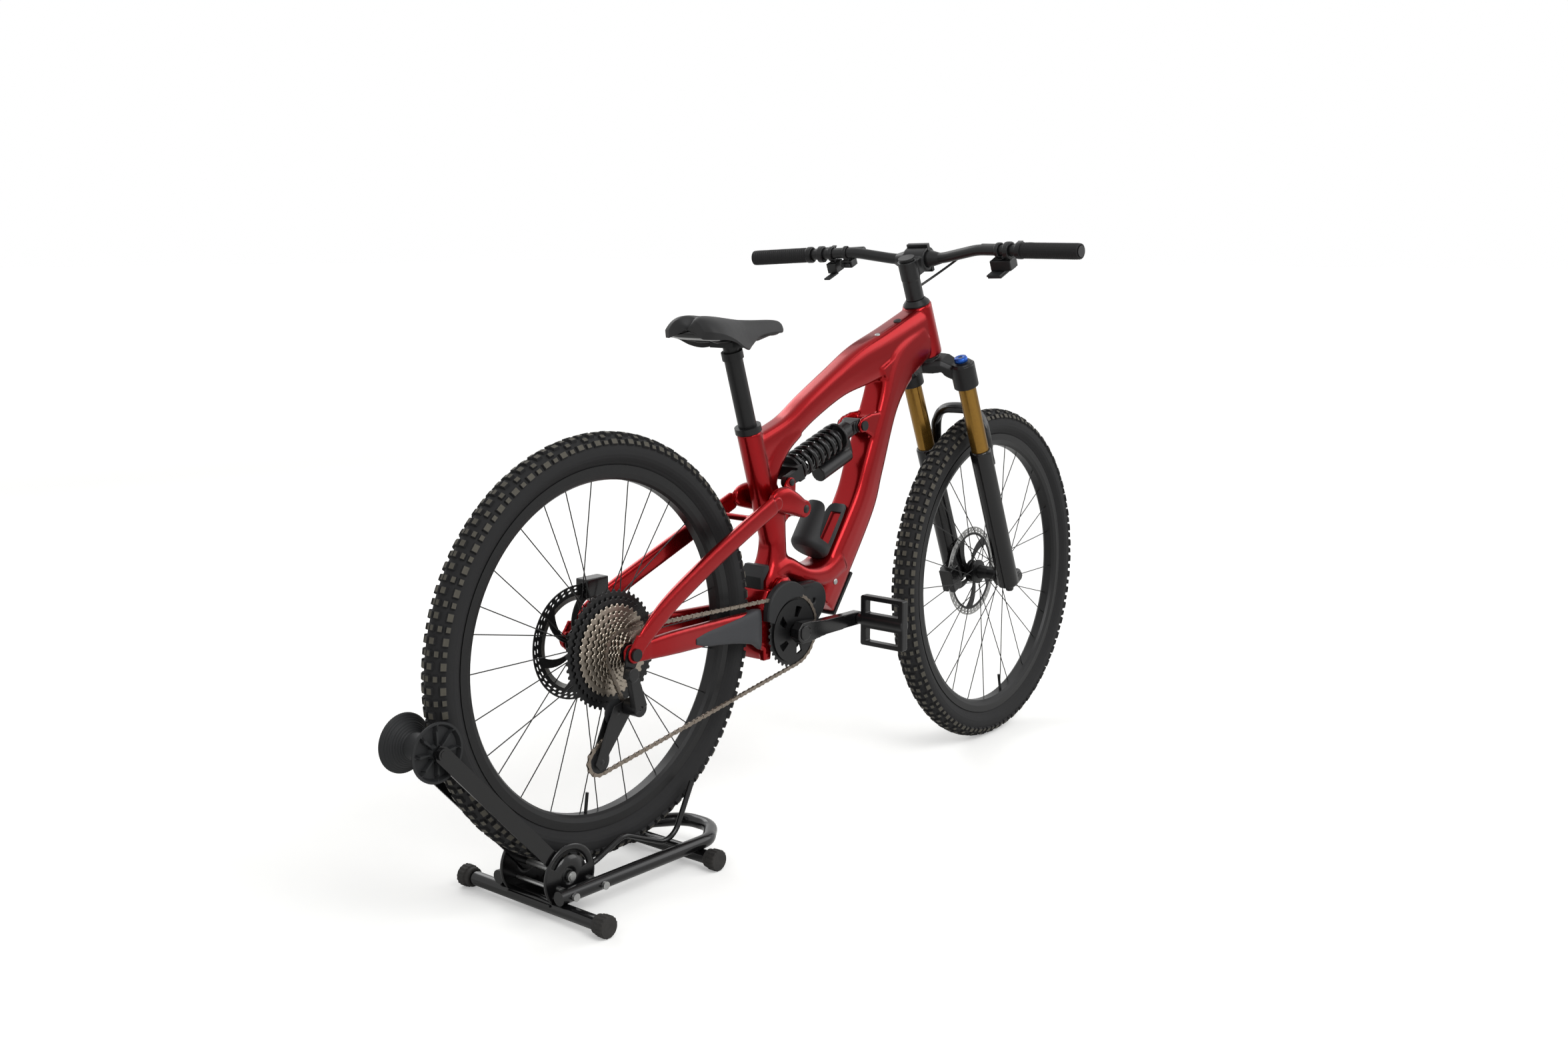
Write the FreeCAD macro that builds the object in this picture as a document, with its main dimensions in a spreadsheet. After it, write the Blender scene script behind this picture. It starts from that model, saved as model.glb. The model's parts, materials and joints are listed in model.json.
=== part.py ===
import FreeCAD, Part
import math
import os
import re

import Sketcher
from FreeCAD import Placement, Rotation, Vector

# An electric full-suspension mountain bicycle held by its rear wheel in a sprung display stand.
# +X is forward, +Y is left, +Z is up. The origin lies on the floor, midway between the two axles.
# All lengths are millimetres and all angles are degrees.

SIZES = {
    # Wheels
    "wheelbase": 1216,
    "tyre_radius": 373,
    "tyre_section": 31,
    "tyre_wall": 3.5,
    "rim_radius": 317,
    "rim_height": 26,
    "rim_half_width": 17,
    "spoke_radius": 1.0,
    "spokes_per_side": 14,
    "spoke_slant": 24,
    "rear_lift": 56,
    "rear_overhang": 30,
    "rear_hub_half": 73.7,
    "front_hub_half": 54.7,
    "rear_axle_radius": 6,
    "front_axle_radius": 7.5,
    "rear_flange_radius": 29,
    "front_flange_radius": 27,
    "rotor_radius": 101.5,
    "rotor_band": 15,
    "rotor_thickness": 1.8,
    "rear_rotor_offset": 57,
    "front_rotor_offset": 42,
    "valve_radius": 3,
    "valve_length": 38,
    # Gears
    "chain_pitch": 12.7,
    "chain_width": 5,
    "chain_height": 8,
    "chain_groove": 2.4,
    "cog_spacing": 3.7,
    "cog_thickness": 1.6,
    "smallest_cog_offset": 70,
    "ring_teeth": 34,
    "drive_cog_teeth": 18,
    "jockey_teeth": 12,
    "tooth_drop": 1.4,
    # Steering and fork
    "head_angle": 68.2,
    "steer_turn": 3.6,
    "fork_rake": 44,
    "leg_spacing": 68,
    "leg_forward": 17,
    "stanchion_radius": 19,
    "lower_leg_radius": 23.5,
    "seal_height": 320,
    "stanchion_depth": 95,
    "clamp_bottom": 485,
    "clamp_top": 537,
    "crown_bottom": 531,
    "head_bottom": 566,
    "head_top": 681,
    "steerer_radius": 14.3,
    "bar_height": 763.3,
    "stem_reach": 44,
    "bar_radius": 17.5,
    "grip_bar_radius": 11.1,
    "bar_half_width": 397,
    "bar_rise": 25,
    "bar_sweep": 40,
    "grip_radius": 16,
    "grip_length": 135,
    # Saddle and its post
    "seat_lean": 17,
    "seat_top_ahead": 393.5,
    "seat_top_height": 763,
    "post_radius": 17.4,
    "post_collar_height": 158,
    "dropper_radius": 15,
    "dropper_shown": 24,
    "saddle_length": 258,
    "saddle_half_width": 71,
    # Cranks and pedals
    "crank_ahead": 455,
    "crank_height": 384,
    "crank_length": 165,
    "crank_axle_radius": 12,
    "pedal_half_span": 50,
    "pedal_thickness": 17,
    # Suspension
    "pivot_ahead": 445,
    "pivot_height": 470,
    "rocker_ahead": 493,
    "rocker_height": 615,
    "stay_ahead": 412,
    "stay_height": 634,
    "yoke_ahead": 468,
    "yoke_height": 668,
    "shock_ahead": 709,
    "shock_height": 754,
    "coil_radius": 24.5,
    "coil_wire": 4.8,
    "coil_turns": 7,
    # Stand
    "stand_tube_radius": 12.5,
    "rear_foot_ahead": -162,
    "front_foot_ahead": 172,
    "rear_foot_half": 176,
    "front_foot_half": 114,
    "rail_half": 76,
    "foot_radius": 20,
    "foot_length": 28,
    "arm_pivot_ahead": -131,
    "arm_pivot_height": 67,
    "roller_angle": 193,
    "roller_core": 22,
    "roller_flange": 49,
    "roller_half": 43,
    "arm_offset": 50,
    "arm_thickness": 4,
    # Fits
    "running_gap": 0.05,
    "snug_gap": 0.15,
    "clear_gap": 0.3,
}

COG_TEETH = (10, 12, 14, 16, 18, 21, 24, 28, 33, 39, 45, 51)
ALIAS = re.compile(r"[a-z_]+")
FULL_TURN = 360.0

doc = FreeCAD.newDocument("bicycle_on_stand")
sheet = doc.addObject("Spreadsheet::Sheet", "sizes")
for row, (alias, number) in enumerate(SIZES.items(), start=1):
    sheet.set(f"A{row}", alias)
    sheet.set(f"B{row}", str(number))
    sheet.setAlias(f"B{row}", alias)
doc.recompute()

nodes = []


# ---------------------------------------------------------------- helpers

def formula(text):
    """Point every size name in a formula at its cell in the sheet."""
    return ALIAS.sub(lambda word: "sizes." + word.group() if word.group() in SIZES else word.group(), str(text))


def value(text):
    """The number that a formula of sizes gives now."""
    return float(sheet.evalExpression(formula(text)))


def bind(item, prop, text):
    """Tie a property of an object to a formula of sizes."""
    item.setExpression(prop, formula(text))


def bind_base(item, start):
    """Tie an object's place to three formulas."""
    for axis, text in zip("xyz", start):
        bind(item, f"Placement.Base.{axis}", text)


ALONG = {
    "z": Rotation(),
    "x": Rotation(Vector(0, 1, 0), 90),
    "y": Rotation(Vector(1, 0, 0), -90),
}


def turned(along):
    """A rotation from an axis letter, or the rotation itself."""
    return ALONG[along] if isinstance(along, str) else along


def cylinder(name, radius, length, start=(0, 0, 0), along="z"):
    item = doc.addObject("Part::Cylinder", name)
    bind(item, "Radius", radius)
    bind(item, "Height", length)
    item.Placement = Placement(Vector(), turned(along))
    bind_base(item, start)
    return item


def cone(name, radius_start, radius_end, length, start=(0, 0, 0), along="z"):
    item = doc.addObject("Part::Cone", name)
    bind(item, "Radius1", radius_start)
    bind(item, "Radius2", radius_end)
    bind(item, "Height", length)
    item.Placement = Placement(Vector(), turned(along))
    bind_base(item, start)
    return item


def box(name, size, centre):
    item = doc.addObject("Part::Box", name)
    for prop, text in zip(("Length", "Width", "Height"), size):
        bind(item, prop, text)
    bind_base(item, [f"({middle}) - ({extent}) / 2" for middle, extent in zip(centre, size)])
    return item


def fuse(name, *parts):
    item = doc.addObject("Part::MultiFuse", name)
    item.Shapes = list(parts)
    return item


def cut(name, base, *tools):
    item = doc.addObject("Part::Cut", name)
    item.Base = base
    item.Tool = tools[0] if len(tools) == 1 else fuse(name + "_tools", *tools)
    return item


def origin_plane(body, role):
    return next(item for item in body.Origin.OriginFeatures if item.Role == role)


def draw_outline(sketch, points):
    """Draw a closed outline whose corners are tied to formulas of sizes."""
    corners = [Vector(value(across), value(up), 0) for across, up in points]
    first = sketch.GeometryCount
    for index, corner in enumerate(corners):
        sketch.addGeometry(Part.LineSegment(corner, corners[(index + 1) % len(corners)]))
    for index in range(len(corners)):
        following = first + (index + 1) % len(corners)
        sketch.addConstraint(Sketcher.Constraint("Coincident", first + index, 2, following, 1))
    for index, (across, up) in enumerate(points):
        for kind, text, number in (("DistanceX", across, corners[index].x), ("DistanceY", up, corners[index].y)):
            place = sketch.addConstraint(Sketcher.Constraint(kind, -1, 1, first + index, 1, number))
            bind(sketch, f"Constraints[{place}]", text)


def draw_circle(sketch, across, up, radius):
    """Draw a circle tied to formulas of sizes."""
    centre = Vector(value(across), value(up), 0)
    circle = sketch.addGeometry(Part.Circle(centre, Vector(0, 0, 1), value(radius)))
    place = sketch.addConstraint(Sketcher.Constraint("Radius", circle, value(radius)))
    bind(sketch, f"Constraints[{place}]", radius)
    for kind, text, number in (("DistanceX", across, centre.x), ("DistanceY", up, centre.y)):
        place = sketch.addConstraint(Sketcher.Constraint(kind, -1, 1, circle, 3, number))
        bind(sketch, f"Constraints[{place}]", text)


def new_sketch(body, name, role="XZ_Plane"):
    sketch = body.newObject("Sketcher::SketchObject", name)
    sketch.AttachmentSupport = [(origin_plane(body, role), "")]
    sketch.MapMode = "FlatFace"
    return sketch


def revolved(name, *outlines):
    """A body turned about its Z axis from outlines of (radius, height) formulas; later ones are cavities."""
    body = doc.addObject("PartDesign::Body", name)
    sketch = new_sketch(body, name + "_profile")
    for outline in outlines:
        draw_outline(sketch, outline)
    turn = body.newObject("PartDesign::Revolution", name + "_turn")
    turn.Profile = sketch
    turn.ReferenceAxis = (sketch, ["V_Axis"])
    turn.Angle = FULL_TURN
    return body


def plate(name, outline, thickness, circles=()):
    """A body padded both ways from its XZ plane, with round holes of (x, z, radius)."""
    body = doc.addObject("PartDesign::Body", name)
    sketch = new_sketch(body, name + "_outline")
    draw_outline(sketch, outline)
    for circle in circles:
        draw_circle(sketch, *circle)
    pad = body.newObject("PartDesign::Pad", name + "_pad")
    pad.Profile = sketch
    pad.SideType = "Symmetric"
    bind(pad, "Length", thickness)
    return body


def moved(item, across):
    """Shift a plate sideways, along Y."""
    bind(item, "Placement.Base.y", across)
    return item


def feature(name, shape):
    item = doc.addObject("Part::Feature", name)
    item.Shape = shape
    return item


def rounded_path(points, radius):
    """Straight runs joined by tangent arcs of at most the given radius."""
    edges = []
    here = points[0]
    for before, corner, after in zip(points, points[1:], points[2:]):
        come = (corner - before).normalize()
        leave = (after - corner).normalize()
        half_turn = come.getAngle(leave) / 2
        shorter = min((corner - before).Length, (after - corner).Length)
        bend = min(radius, 0.45 * shorter / math.tan(half_turn))
        back = bend * math.tan(half_turn)
        start = corner - come * back
        end = corner + leave * back
        inward = (leave - come).normalize()
        middle = corner + inward * (bend / math.cos(half_turn) - bend)
        edges.append(Part.LineSegment(here, start).toShape())
        edges.append(Part.Arc(start, middle, end).toShape())
        here = end
    edges.append(Part.LineSegment(here, points[-1]).toShape())
    return Part.Wire(edges)


def pipe(points, radius, bend):
    """A solid round tube along straight runs and tangent arcs."""
    path = rounded_path([Vector(*point) for point in points], bend)
    start = path.Edges[0]
    direction = start.tangentAt(start.FirstParameter)
    ring = Part.Wire(Part.makeCircle(radius, path.Edges[0].valueAt(start.FirstParameter), direction))
    solid = path.makePipeShell([ring], True, True)
    expected = math.pi * radius ** 2 * path.Length
    if abs(solid.Volume - expected) > 0.02 * expected:
        raise ValueError("a tube's volume differs from its section times its length")
    return solid


def rounded_section(centre, along, depth, width, corner):
    """A rounded rectangle across a tube: depth lies in the XZ plane and width along Y."""
    up = Vector(-along.z, 0, along.x).normalize()
    side = Vector(0, 1, 0)

    def at(across, height):
        return centre + side * across + up * height

    half_width, half_depth = width / 2, depth / 2
    flat_width, flat_depth = half_width - corner, half_depth - corner
    diagonal = corner * math.sqrt(0.5)
    edges = []
    for sign_side, sign_up in ((1, 1), (-1, 1), (-1, -1), (1, -1)):
        round_side = at(sign_side * half_width, sign_up * flat_depth)
        round_up = at(sign_side * flat_width, sign_up * half_depth)
        middle = at(sign_side * (flat_width + diagonal), sign_up * (flat_depth + diagonal))
        ends = (round_side, round_up) if sign_side == sign_up else (round_up, round_side)
        edges.append(Part.Arc(ends[0], middle, ends[1]).toShape())
    closed = []
    for index, edge in enumerate(edges):
        closed.append(edge)
        following = edges[(index + 1) % len(edges)]
        closed.append(Part.LineSegment(edge.valueAt(edge.LastParameter),
                                       following.valueAt(following.FirstParameter)).toShape())
    return Part.Wire(Part.__sortEdges__(closed))


def loft(sections):
    """A solid through rounded sections of (x, y, z, tilt, depth, width, corner)."""
    wires = []
    for ahead, across, height, tilt, depth, width, corner in sections:
        angle = math.radians(tilt)
        along = Vector(math.cos(angle), 0, math.sin(angle))
        wires.append(rounded_section(Vector(ahead, across, height), along, depth, width, corner))
    return Part.makeLoft(wires, True, True)


def local(item, placement):
    """Turn a bound piece from its own frame into a wider one."""
    doc.recompute()
    for axis in "xyz":
        item.setExpression(f"Placement.Base.{axis}", None)
    item.Placement = placement.multiply(item.Placement)
    return item


def node(label, item, placement=Placement()):
    """Name a finished sub-part and put it in its place."""
    nodes.append(local(item, placement))
    item.Label = label
    return item


# ---------------------------------------------------------------- frames of reference

rear_x = value("rear_overhang - wheelbase / 2")
rear_axle_z = value("tyre_radius + rear_lift")
BIKE = Placement(Vector(rear_x, 0, 0), Rotation())
WHEEL_TURN = Rotation(Vector(1, 0, 0), -90)
REAR_WHEEL = Placement(Vector(rear_x, 0, rear_axle_z), WHEEL_TURN)
lean_back = 90 - value("head_angle")
head_turn = Rotation(Vector(0, 1, 0), -lean_back)
front_axle = Vector(rear_x + value("wheelbase"), 0, value("tyre_radius"))
HEAD = Placement(front_axle - head_turn.multVec(Vector(value("fork_rake"), 0, 0)), head_turn)
STEER = HEAD.multiply(Placement(Vector(), Rotation(Vector(0, 0, 1), value("steer_turn"))))
FRONT_WHEEL = STEER.multiply(Placement(Vector(value("fork_rake"), 0, 0), WHEEL_TURN))
SEAT = Placement(Vector(rear_x + value("seat_top_ahead"), 0, value("seat_top_height")),
                 Rotation(Vector(0, 1, 0), -value("seat_lean")))
shock_run = Vector(value("yoke_ahead - shock_ahead"), 0, value("yoke_height - shock_height"))
shock_length = shock_run.Length
SHOCK = Placement(Vector(rear_x + value("shock_ahead"), 0, value("shock_height")),
                  Rotation(Vector(0, 1, 0), math.degrees(math.atan2(shock_run.x, shock_run.z))))


# ---------------------------------------------------------------- wheels

def pitch_radius(teeth):
    """Radius of the circle that a chain's pins follow round a sprocket."""
    return f"chain_pitch / 2 / sin(180 / {teeth})"


def tyre_shape():
    """A hollow tyre: an outer and an inner arc joined by beads inside the rim's hooks."""
    section = value("tyre_section")
    wall = value("tyre_wall")
    middle = value("tyre_radius") - section
    rim = value("rim_radius")
    outer_foot = rim + 2
    inner_foot = rim + 4
    outer_half = math.sqrt(section ** 2 - (middle - outer_foot) ** 2)
    inner_half = math.sqrt((section - wall) ** 2 - (middle - inner_foot) ** 2)
    lip = value("rim_half_width - 1")
    bead = value("rim_half_width - 4.8")
    bead_foot = rim - 8.6
    inner_bead = bead - 3.6
    right = [(outer_foot, outer_half), (rim + 0.5, lip), (rim + 0.5, bead + 0.9), (bead_foot, bead),
             (bead_foot, inner_bead), (rim, inner_bead + 0.5), (rim + 2.8, bead), (inner_foot, inner_half)]
    edges = []
    for side in (1, -1):
        corners = [Vector(radius, 0, side * half) for radius, half in right]
        edges += [Part.LineSegment(a, b).toShape() for a, b in zip(corners, corners[1:])]
    for foot, half, top in ((outer_foot, outer_half, middle + section), (inner_foot, inner_half, middle + section - wall)):
        arc = Part.Arc(Vector(foot, 0, half), Vector(top, 0, 0), Vector(foot, 0, -half))
        edges.append(arc.toShape())
    face = Part.Face(Part.Wire(Part.__sortEdges__(edges)))
    return face.revolve(Vector(), Vector(0, 0, 1), FULL_TURN)


def rim(name, valve_angle):
    """A box-section rim with hooked edges, and the valve stem that stands in its bed."""
    bed = "rim_radius - rim_height"
    half = "rim_half_width"
    outline = [(bed, "-9"), (f"{bed} + 4", f"3 - {half}"), (f"{bed} + 12", f"-{half}"), ("rim_radius", f"-{half}"),
               ("rim_radius", f"3.5 - {half}"), ("rim_radius - 9", f"4.5 - {half}"), ("rim_radius - 9", f"{half} - 4.5"),
               ("rim_radius", f"{half} - 3.5"), ("rim_radius", half), (f"{bed} + 12", half), (f"{bed} + 4", f"{half} - 3"),
               (bed, "9")]
    cavity = [(f"{bed} + 3", "-7"), (f"{bed} + 6", f"5.5 - {half}"), ("rim_radius - 11.5", f"5.5 - {half}"),
              ("rim_radius - 11.5", f"{half} - 5.5"), (f"{bed} + 6", f"{half} - 5.5"), (f"{bed} + 3", "7")]
    ring = revolved(name + "_ring", outline, cavity)
    reach = "rim_radius - rim_height + 2"
    direction = Rotation(Vector(0, 0, 1), valve_angle).multiply(ALONG["x"])
    stem = cylinder(name + "_valve", "valve_radius", "valve_length",
                    (f"({reach} - valve_length) * cos({valve_angle})", f"({reach} - valve_length) * sin({valve_angle})", 0),
                    direction)
    return fuse(name, ring, stem)


def spokes(flange, low_side, high_side):
    """Straight spokes laced from the hub's flanges to the rim, each side slanting both ways."""
    count = int(value("spokes_per_side"))
    inner = value(f"{flange} + 0.4") + value("spoke_radius")
    outer = value("rim_radius - rim_height - 0.6")
    slant = value("spoke_slant")
    solids = []
    for side_index, (side, rim_side) in enumerate(((low_side, -2.5), (high_side, 2.5))):
        for index in range(count):
            turn = FULL_TURN * (index + 0.5 * side_index) / count
            sense = 1 if index % 2 else -1
            start = Vector(inner, 0, side + 2 * sense)
            lean = math.radians(sense * slant)
            end = Vector(outer * math.cos(lean), outer * math.sin(lean), rim_side)
            run = end - start
            solid = Part.makeCylinder(value("spoke_radius"), run.Length, start, run)
            solid.rotate(Vector(), Vector(0, 0, 1), turn)
            solids.append(solid)
    return Part.makeCompound(solids)


def rotor(name, offset, arms):
    """A brake disc: a flat band, a spider of slanted arms and a centre ring."""
    body = doc.addObject("PartDesign::Body", name)
    band = new_sketch(body, name + "_band", "XY_Plane")
    draw_circle(band, "0", "0", "rotor_radius")
    draw_circle(band, "0", "0", "rotor_radius - rotor_band")
    band_pad = body.newObject("PartDesign::Pad", name + "_band_pad")
    band_pad.Profile = band
    bind(band_pad, "Length", "rotor_thickness")
    arm = new_sketch(body, name + "_arm", "XY_Plane")
    draw_outline(arm, [("-5", "20"), ("5", "20"), ("16", "rotor_radius - rotor_band + 3"),
                       ("8", "rotor_radius - rotor_band + 3")])
    arm_pad = body.newObject("PartDesign::Pad", name + "_arm_pad")
    arm_pad.Profile = arm
    bind(arm_pad, "Length", "rotor_thickness")
    spider = body.newObject("PartDesign::PolarPattern", name + "_spider")
    spider.Originals = [arm_pad]
    spider.Axis = (arm, ["N_Axis"])
    spider.Angle = FULL_TURN
    spider.Occurrences = arms
    body.Tip = spider
    centre = new_sketch(body, name + "_centre", "XY_Plane")
    draw_circle(centre, "0", "0", "26")
    draw_circle(centre, "0", "0", "15.1")
    centre_pad = body.newObject("PartDesign::Pad", name + "_centre_pad")
    centre_pad.Profile = centre
    bind(centre_pad, "Length", "rotor_thickness")
    bind(body, "Placement.Base.z", f"{offset} - rotor_thickness / 2")
    return body


rear_flange_low, rear_flange_high = -22, 33
front_flange_low, front_flange_high = -33, 24

node("rear_tyre", feature("rear_tyre", tyre_shape()), REAR_WHEEL)
rear_lacing = feature("rear_lacing", spokes("rear_flange_radius", rear_flange_low, rear_flange_high))
node("rear_rim", fuse("rear_rim", rim("rear_hoop", 98), rear_lacing), REAR_WHEEL)
bore = "rear_axle_radius + running_gap"
rear_hub = revolved("rear_hub", [
    (bore, "-rear_hub_half"), ("10", "-rear_hub_half"), ("10", "-70.6"), ("17", "-70.6"), ("17", "-27.6"), ("24", "-27.6"),
    ("24", "-24.5"), ("rear_flange_radius", "-24.5"), ("rear_flange_radius", "-19.5"), ("20", "-17"), ("15", "-2"),
    ("15", "10"), ("20", "28"), ("rear_flange_radius", "30.5"), ("rear_flange_radius", "35.5"), ("20", "38"),
    ("20", "50"), ("24", "50"), ("24", "rear_rotor_offset - rotor_thickness / 2 - 0.05"),
    ("15", "rear_rotor_offset - rotor_thickness / 2 - 0.05"), ("15", "61"), ("10", "61"), ("10", "rear_hub_half"),
    (bore, "rear_hub_half")])
node("rear_hub", rear_hub, REAR_WHEEL)
node("rear_rotor", rotor("rear_rotor", "rear_rotor_offset", 6), REAR_WHEEL)

cogs = []
for index, teeth in enumerate(COG_TEETH):
    cogs.append(cylinder(f"cog_{teeth}", pitch_radius(teeth) + " - tooth_drop", "cog_thickness",
                         (0, 0, f"{index} * cog_spacing - smallest_cog_offset")))
cogs.append(cylinder("cog_carrier", 19.4, "11 * cog_spacing + cog_thickness", (0, 0, "-smallest_cog_offset")))
cassette = cut("cassette", fuse("cassette_stack", *cogs),
               cylinder("cassette_bore", "17 + running_gap", 60, (0, 0, "-smallest_cog_offset - 5")))
node("cassette", cassette, REAR_WHEEL)

node("front_tyre", feature("front_tyre", tyre_shape()), FRONT_WHEEL)
front_lacing = feature("front_lacing", spokes("front_flange_radius", front_flange_low, front_flange_high))
node("front_rim", fuse("front_rim", rim("front_hoop", 100), front_lacing), FRONT_WHEEL)
bore = "front_axle_radius + running_gap"
front_hub = revolved("front_hub", [
    (bore, "-front_hub_half"), ("11", "-front_hub_half"), ("11", "-40"), ("18", "-38"), ("front_flange_radius", "-35.5"),
    ("front_flange_radius", "-30.5"), ("16", "-27"), ("14", "-5"), ("16", "19"), ("front_flange_radius", "21.5"),
    ("front_flange_radius", "26.5"), ("18", "29"), ("18", "36"), ("24", "36"),
    ("24", "front_rotor_offset - rotor_thickness / 2 - 0.05"), ("15", "front_rotor_offset - rotor_thickness / 2 - 0.05"),
    ("15", "46"), ("11", "46"), ("11", "front_hub_half"), (bore, "front_hub_half")])
node("front_hub", front_hub, FRONT_WHEEL)
node("front_rotor", rotor("front_rotor", "front_rotor_offset", 5), FRONT_WHEEL)


# ---------------------------------------------------------------- fork and steering

def leg_pair(make):
    """Both sides of the fork from one function of the side's sign."""
    return [make(side) for side in (-1, 1)]


def stanchion(side):
    return cylinder(f"stanchion_{side + 1}", "stanchion_radius", "clamp_top - seal_height + stanchion_depth",
                    ("leg_forward", f"{side} * leg_spacing", "seal_height - stanchion_depth"))


node("fork_stanchions", fuse("fork_stanchions", *leg_pair(stanchion)), STEER)


def lower_leg(side):
    outer = cylinder(f"lower_outer_{side + 1}", "lower_leg_radius", "seal_height + 12",
                     ("leg_forward", f"{side} * leg_spacing", -6))
    lug = cylinder(f"axle_lug_{side + 1}", "17", "24", ("fork_rake", f"{side} * leg_spacing - 12", 0), "y")
    web = box(f"lug_web_{side + 1}", ("fork_rake - leg_forward", 22, 30),
              ("(fork_rake + leg_forward) / 2", f"{side} * leg_spacing", 0))
    return fuse(f"lower_leg_{side + 1}", outer, lug, web)


arch_points = [(57, side * value("leg_spacing - 6"), height) for side, height in ((-1, 296), (-1, 372))]
arch_points += [(57, -34, 408), (57, 34, 408)]
arch_points += [(57, side * value("leg_spacing - 6"), height) for side, height in ((1, 372), (1, 296))]
arch = feature("fork_arch", pipe(arch_points, 8.5, 40))
arch_feet = [box(f"arch_foot_{side + 1}", (38, 17, 34), (44, f"{side} * (leg_spacing - 6)", 292)) for side in (-1, 1)]
lowers = fuse("fork_lowers_solid", *leg_pair(lower_leg), arch, *arch_feet)
slide_bores = [cylinder(f"slide_bore_{side + 1}", "stanchion_radius + running_gap", "seal_height - 60",
                        ("leg_forward", f"{side} * leg_spacing", 70)) for side in (-1, 1)]
hub_gap = box("hub_gap", (80, "2 * front_hub_half + 0.6", 60), ("fork_rake + 10", 0, 0))
axle_bore = cylinder("front_axle_bore", "front_axle_radius", 200, ("fork_rake", -100, 0), "y")
lower_casting = cut("lower_casting", lowers, *slide_bores, hub_gap, axle_bore)

seals = [revolved(f"seal_{side + 1}", [
    ("stanchion_radius + running_gap", "seal_height + 6.1"), ("lower_leg_radius", "seal_height + 6.1"),
    ("lower_leg_radius", "seal_height + 10"), ("stanchion_radius + 2", "seal_height + 14"),
    ("stanchion_radius + running_gap", "seal_height + 14")]) for side in (-1, 1)]
for seal, side in zip(seals, (-1, 1)):
    seal.Placement = Placement(Vector(), Rotation())
    bind(seal, "Placement.Base.x", "leg_forward")
    bind(seal, "Placement.Base.y", f"{side} * leg_spacing")

axle_length = "2 * leg_spacing + 24"
front_axle_pin = cylinder("front_axle_pin", "front_axle_radius", axle_length, ("fork_rake", "-leg_spacing - 12", 0), "y")
axle_head = cylinder("front_axle_head", "11", "5", ("fork_rake", "-leg_spacing - 17.1", 0), "y")

knobs = [cylinder("rebound_knob", "9", "16", ("leg_forward", "-leg_spacing", -22.2)),
         cylinder("air_cap", "9", "6", ("leg_forward", "leg_spacing", -12.2))]
node("fork_lowers", fuse("fork_lowers", lower_casting, *seals, front_axle_pin, axle_head, *knobs), STEER)

clamps = [cylinder(f"crown_clamp_{side + 1}", "stanchion_radius + 7.5", "clamp_top - clamp_bottom",
                   ("leg_forward", f"{side} * leg_spacing", "clamp_bottom")) for side in (-1, 1)]


def crown_arm(side):
    """The sloping arm between the steerer's seat and a leg's clamp."""
    reach = value("leg_spacing")
    middle_top = value("head_bottom - 6")
    bottom = value("crown_bottom")
    clamp_middle = value("(clamp_top + clamp_bottom) / 2")
    wires = []
    for across, height, depth, width in ((0, (middle_top + bottom) / 2, middle_top - bottom, 66),
                                         (side * reach * 0.5, bottom + 6, 36, 52),
                                         (side * reach * 0.85, clamp_middle + 8, 34, 40)):
        half_width, half_depth = width / 2, depth / 2
        centre_x = 2 + abs(across) / reach * value("leg_forward")
        corners = [Vector(centre_x + a * half_width, across, height + b * half_depth)
                   for a, b in ((-1, -0.5), (-0.7, -1), (0.7, -1), (1, -0.5), (1, 0.5), (0.7, 1), (-0.7, 1), (-1, 0.5))]
        wires.append(Part.makePolygon(corners + corners[:1]))
    return Part.makeLoft(wires, True, True)


crown_arms = [feature(f"crown_arm_{side + 1}", crown_arm(side)) for side in (-1, 1)]
steerer = cylinder("steerer", "steerer_radius", "bar_height + 18 - crown_bottom", (0, 0, "crown_bottom"))
crown_race = cylinder("crown_race", "24", "5.5", (0, 0, "head_bottom - 6.1"))
leg_bores = [cylinder(f"clamp_bore_{side + 1}", "stanchion_radius + snug_gap", "clamp_top - clamp_bottom + 40",
                      ("leg_forward", f"{side} * leg_spacing", "clamp_bottom - 20")) for side in (-1, 1)]
tyre_room = cylinder("crown_tyre_room", "leg_spacing - 30", "60", (0, 0, "crown_bottom - 60"))
crown = cut("crown_solid", fuse("crown_body", *clamps, *crown_arms), *leg_bores, tyre_room)

top_caps = []
for side in (-1, 1):
    top_caps.append(cylinder(f"top_cap_{side + 1}", "stanchion_radius + 3", "4",
                             ("leg_forward", f"{side} * leg_spacing", "clamp_top + 0.1")))
    top_caps.append(cylinder(f"top_knob_{side + 1}", 13 if side < 0 else 9, 11 if side < 0 else 7,
                             ("leg_forward", f"{side} * leg_spacing", "clamp_top + 4.1")))
node("fork_crown", fuse("fork_crown", crown, steerer, crown_race, *top_caps), STEER)

cover_bore = "steerer_radius + running_gap"
headset = revolved("headset_rings", [
    (cover_bore, "head_top + 0.1"), ("28", "head_top + 0.1"), ("28", "head_top + 3"), ("20", "head_top + 12"),
    (cover_bore, "head_top + 12")])
lower_ring = revolved("lower_bearing", [
    (cover_bore, "head_bottom + 0.3"), ("23.5", "head_bottom + 0.3"), ("23.5", "head_bottom + 9"),
    (cover_bore, "head_bottom + 9")])
upper_ring = revolved("upper_bearing", [
    (cover_bore, "head_top - 9"), ("23.5", "head_top - 9"), ("23.5", "head_top - 0.2"), (cover_bore, "head_top - 0.2")])
headset_rings = local(fuse("headset_rings_set", headset, lower_ring, upper_ring), HEAD)

spacer_base = "head_top + 12.3"
stem_base = "bar_height - 26"
spacers = revolved("stem_spacers", [
    (cover_bore, spacer_base), ("19", spacer_base), ("19", f"{stem_base} - 0.1"), (cover_bore, f"{stem_base} - 0.1")])

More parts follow.
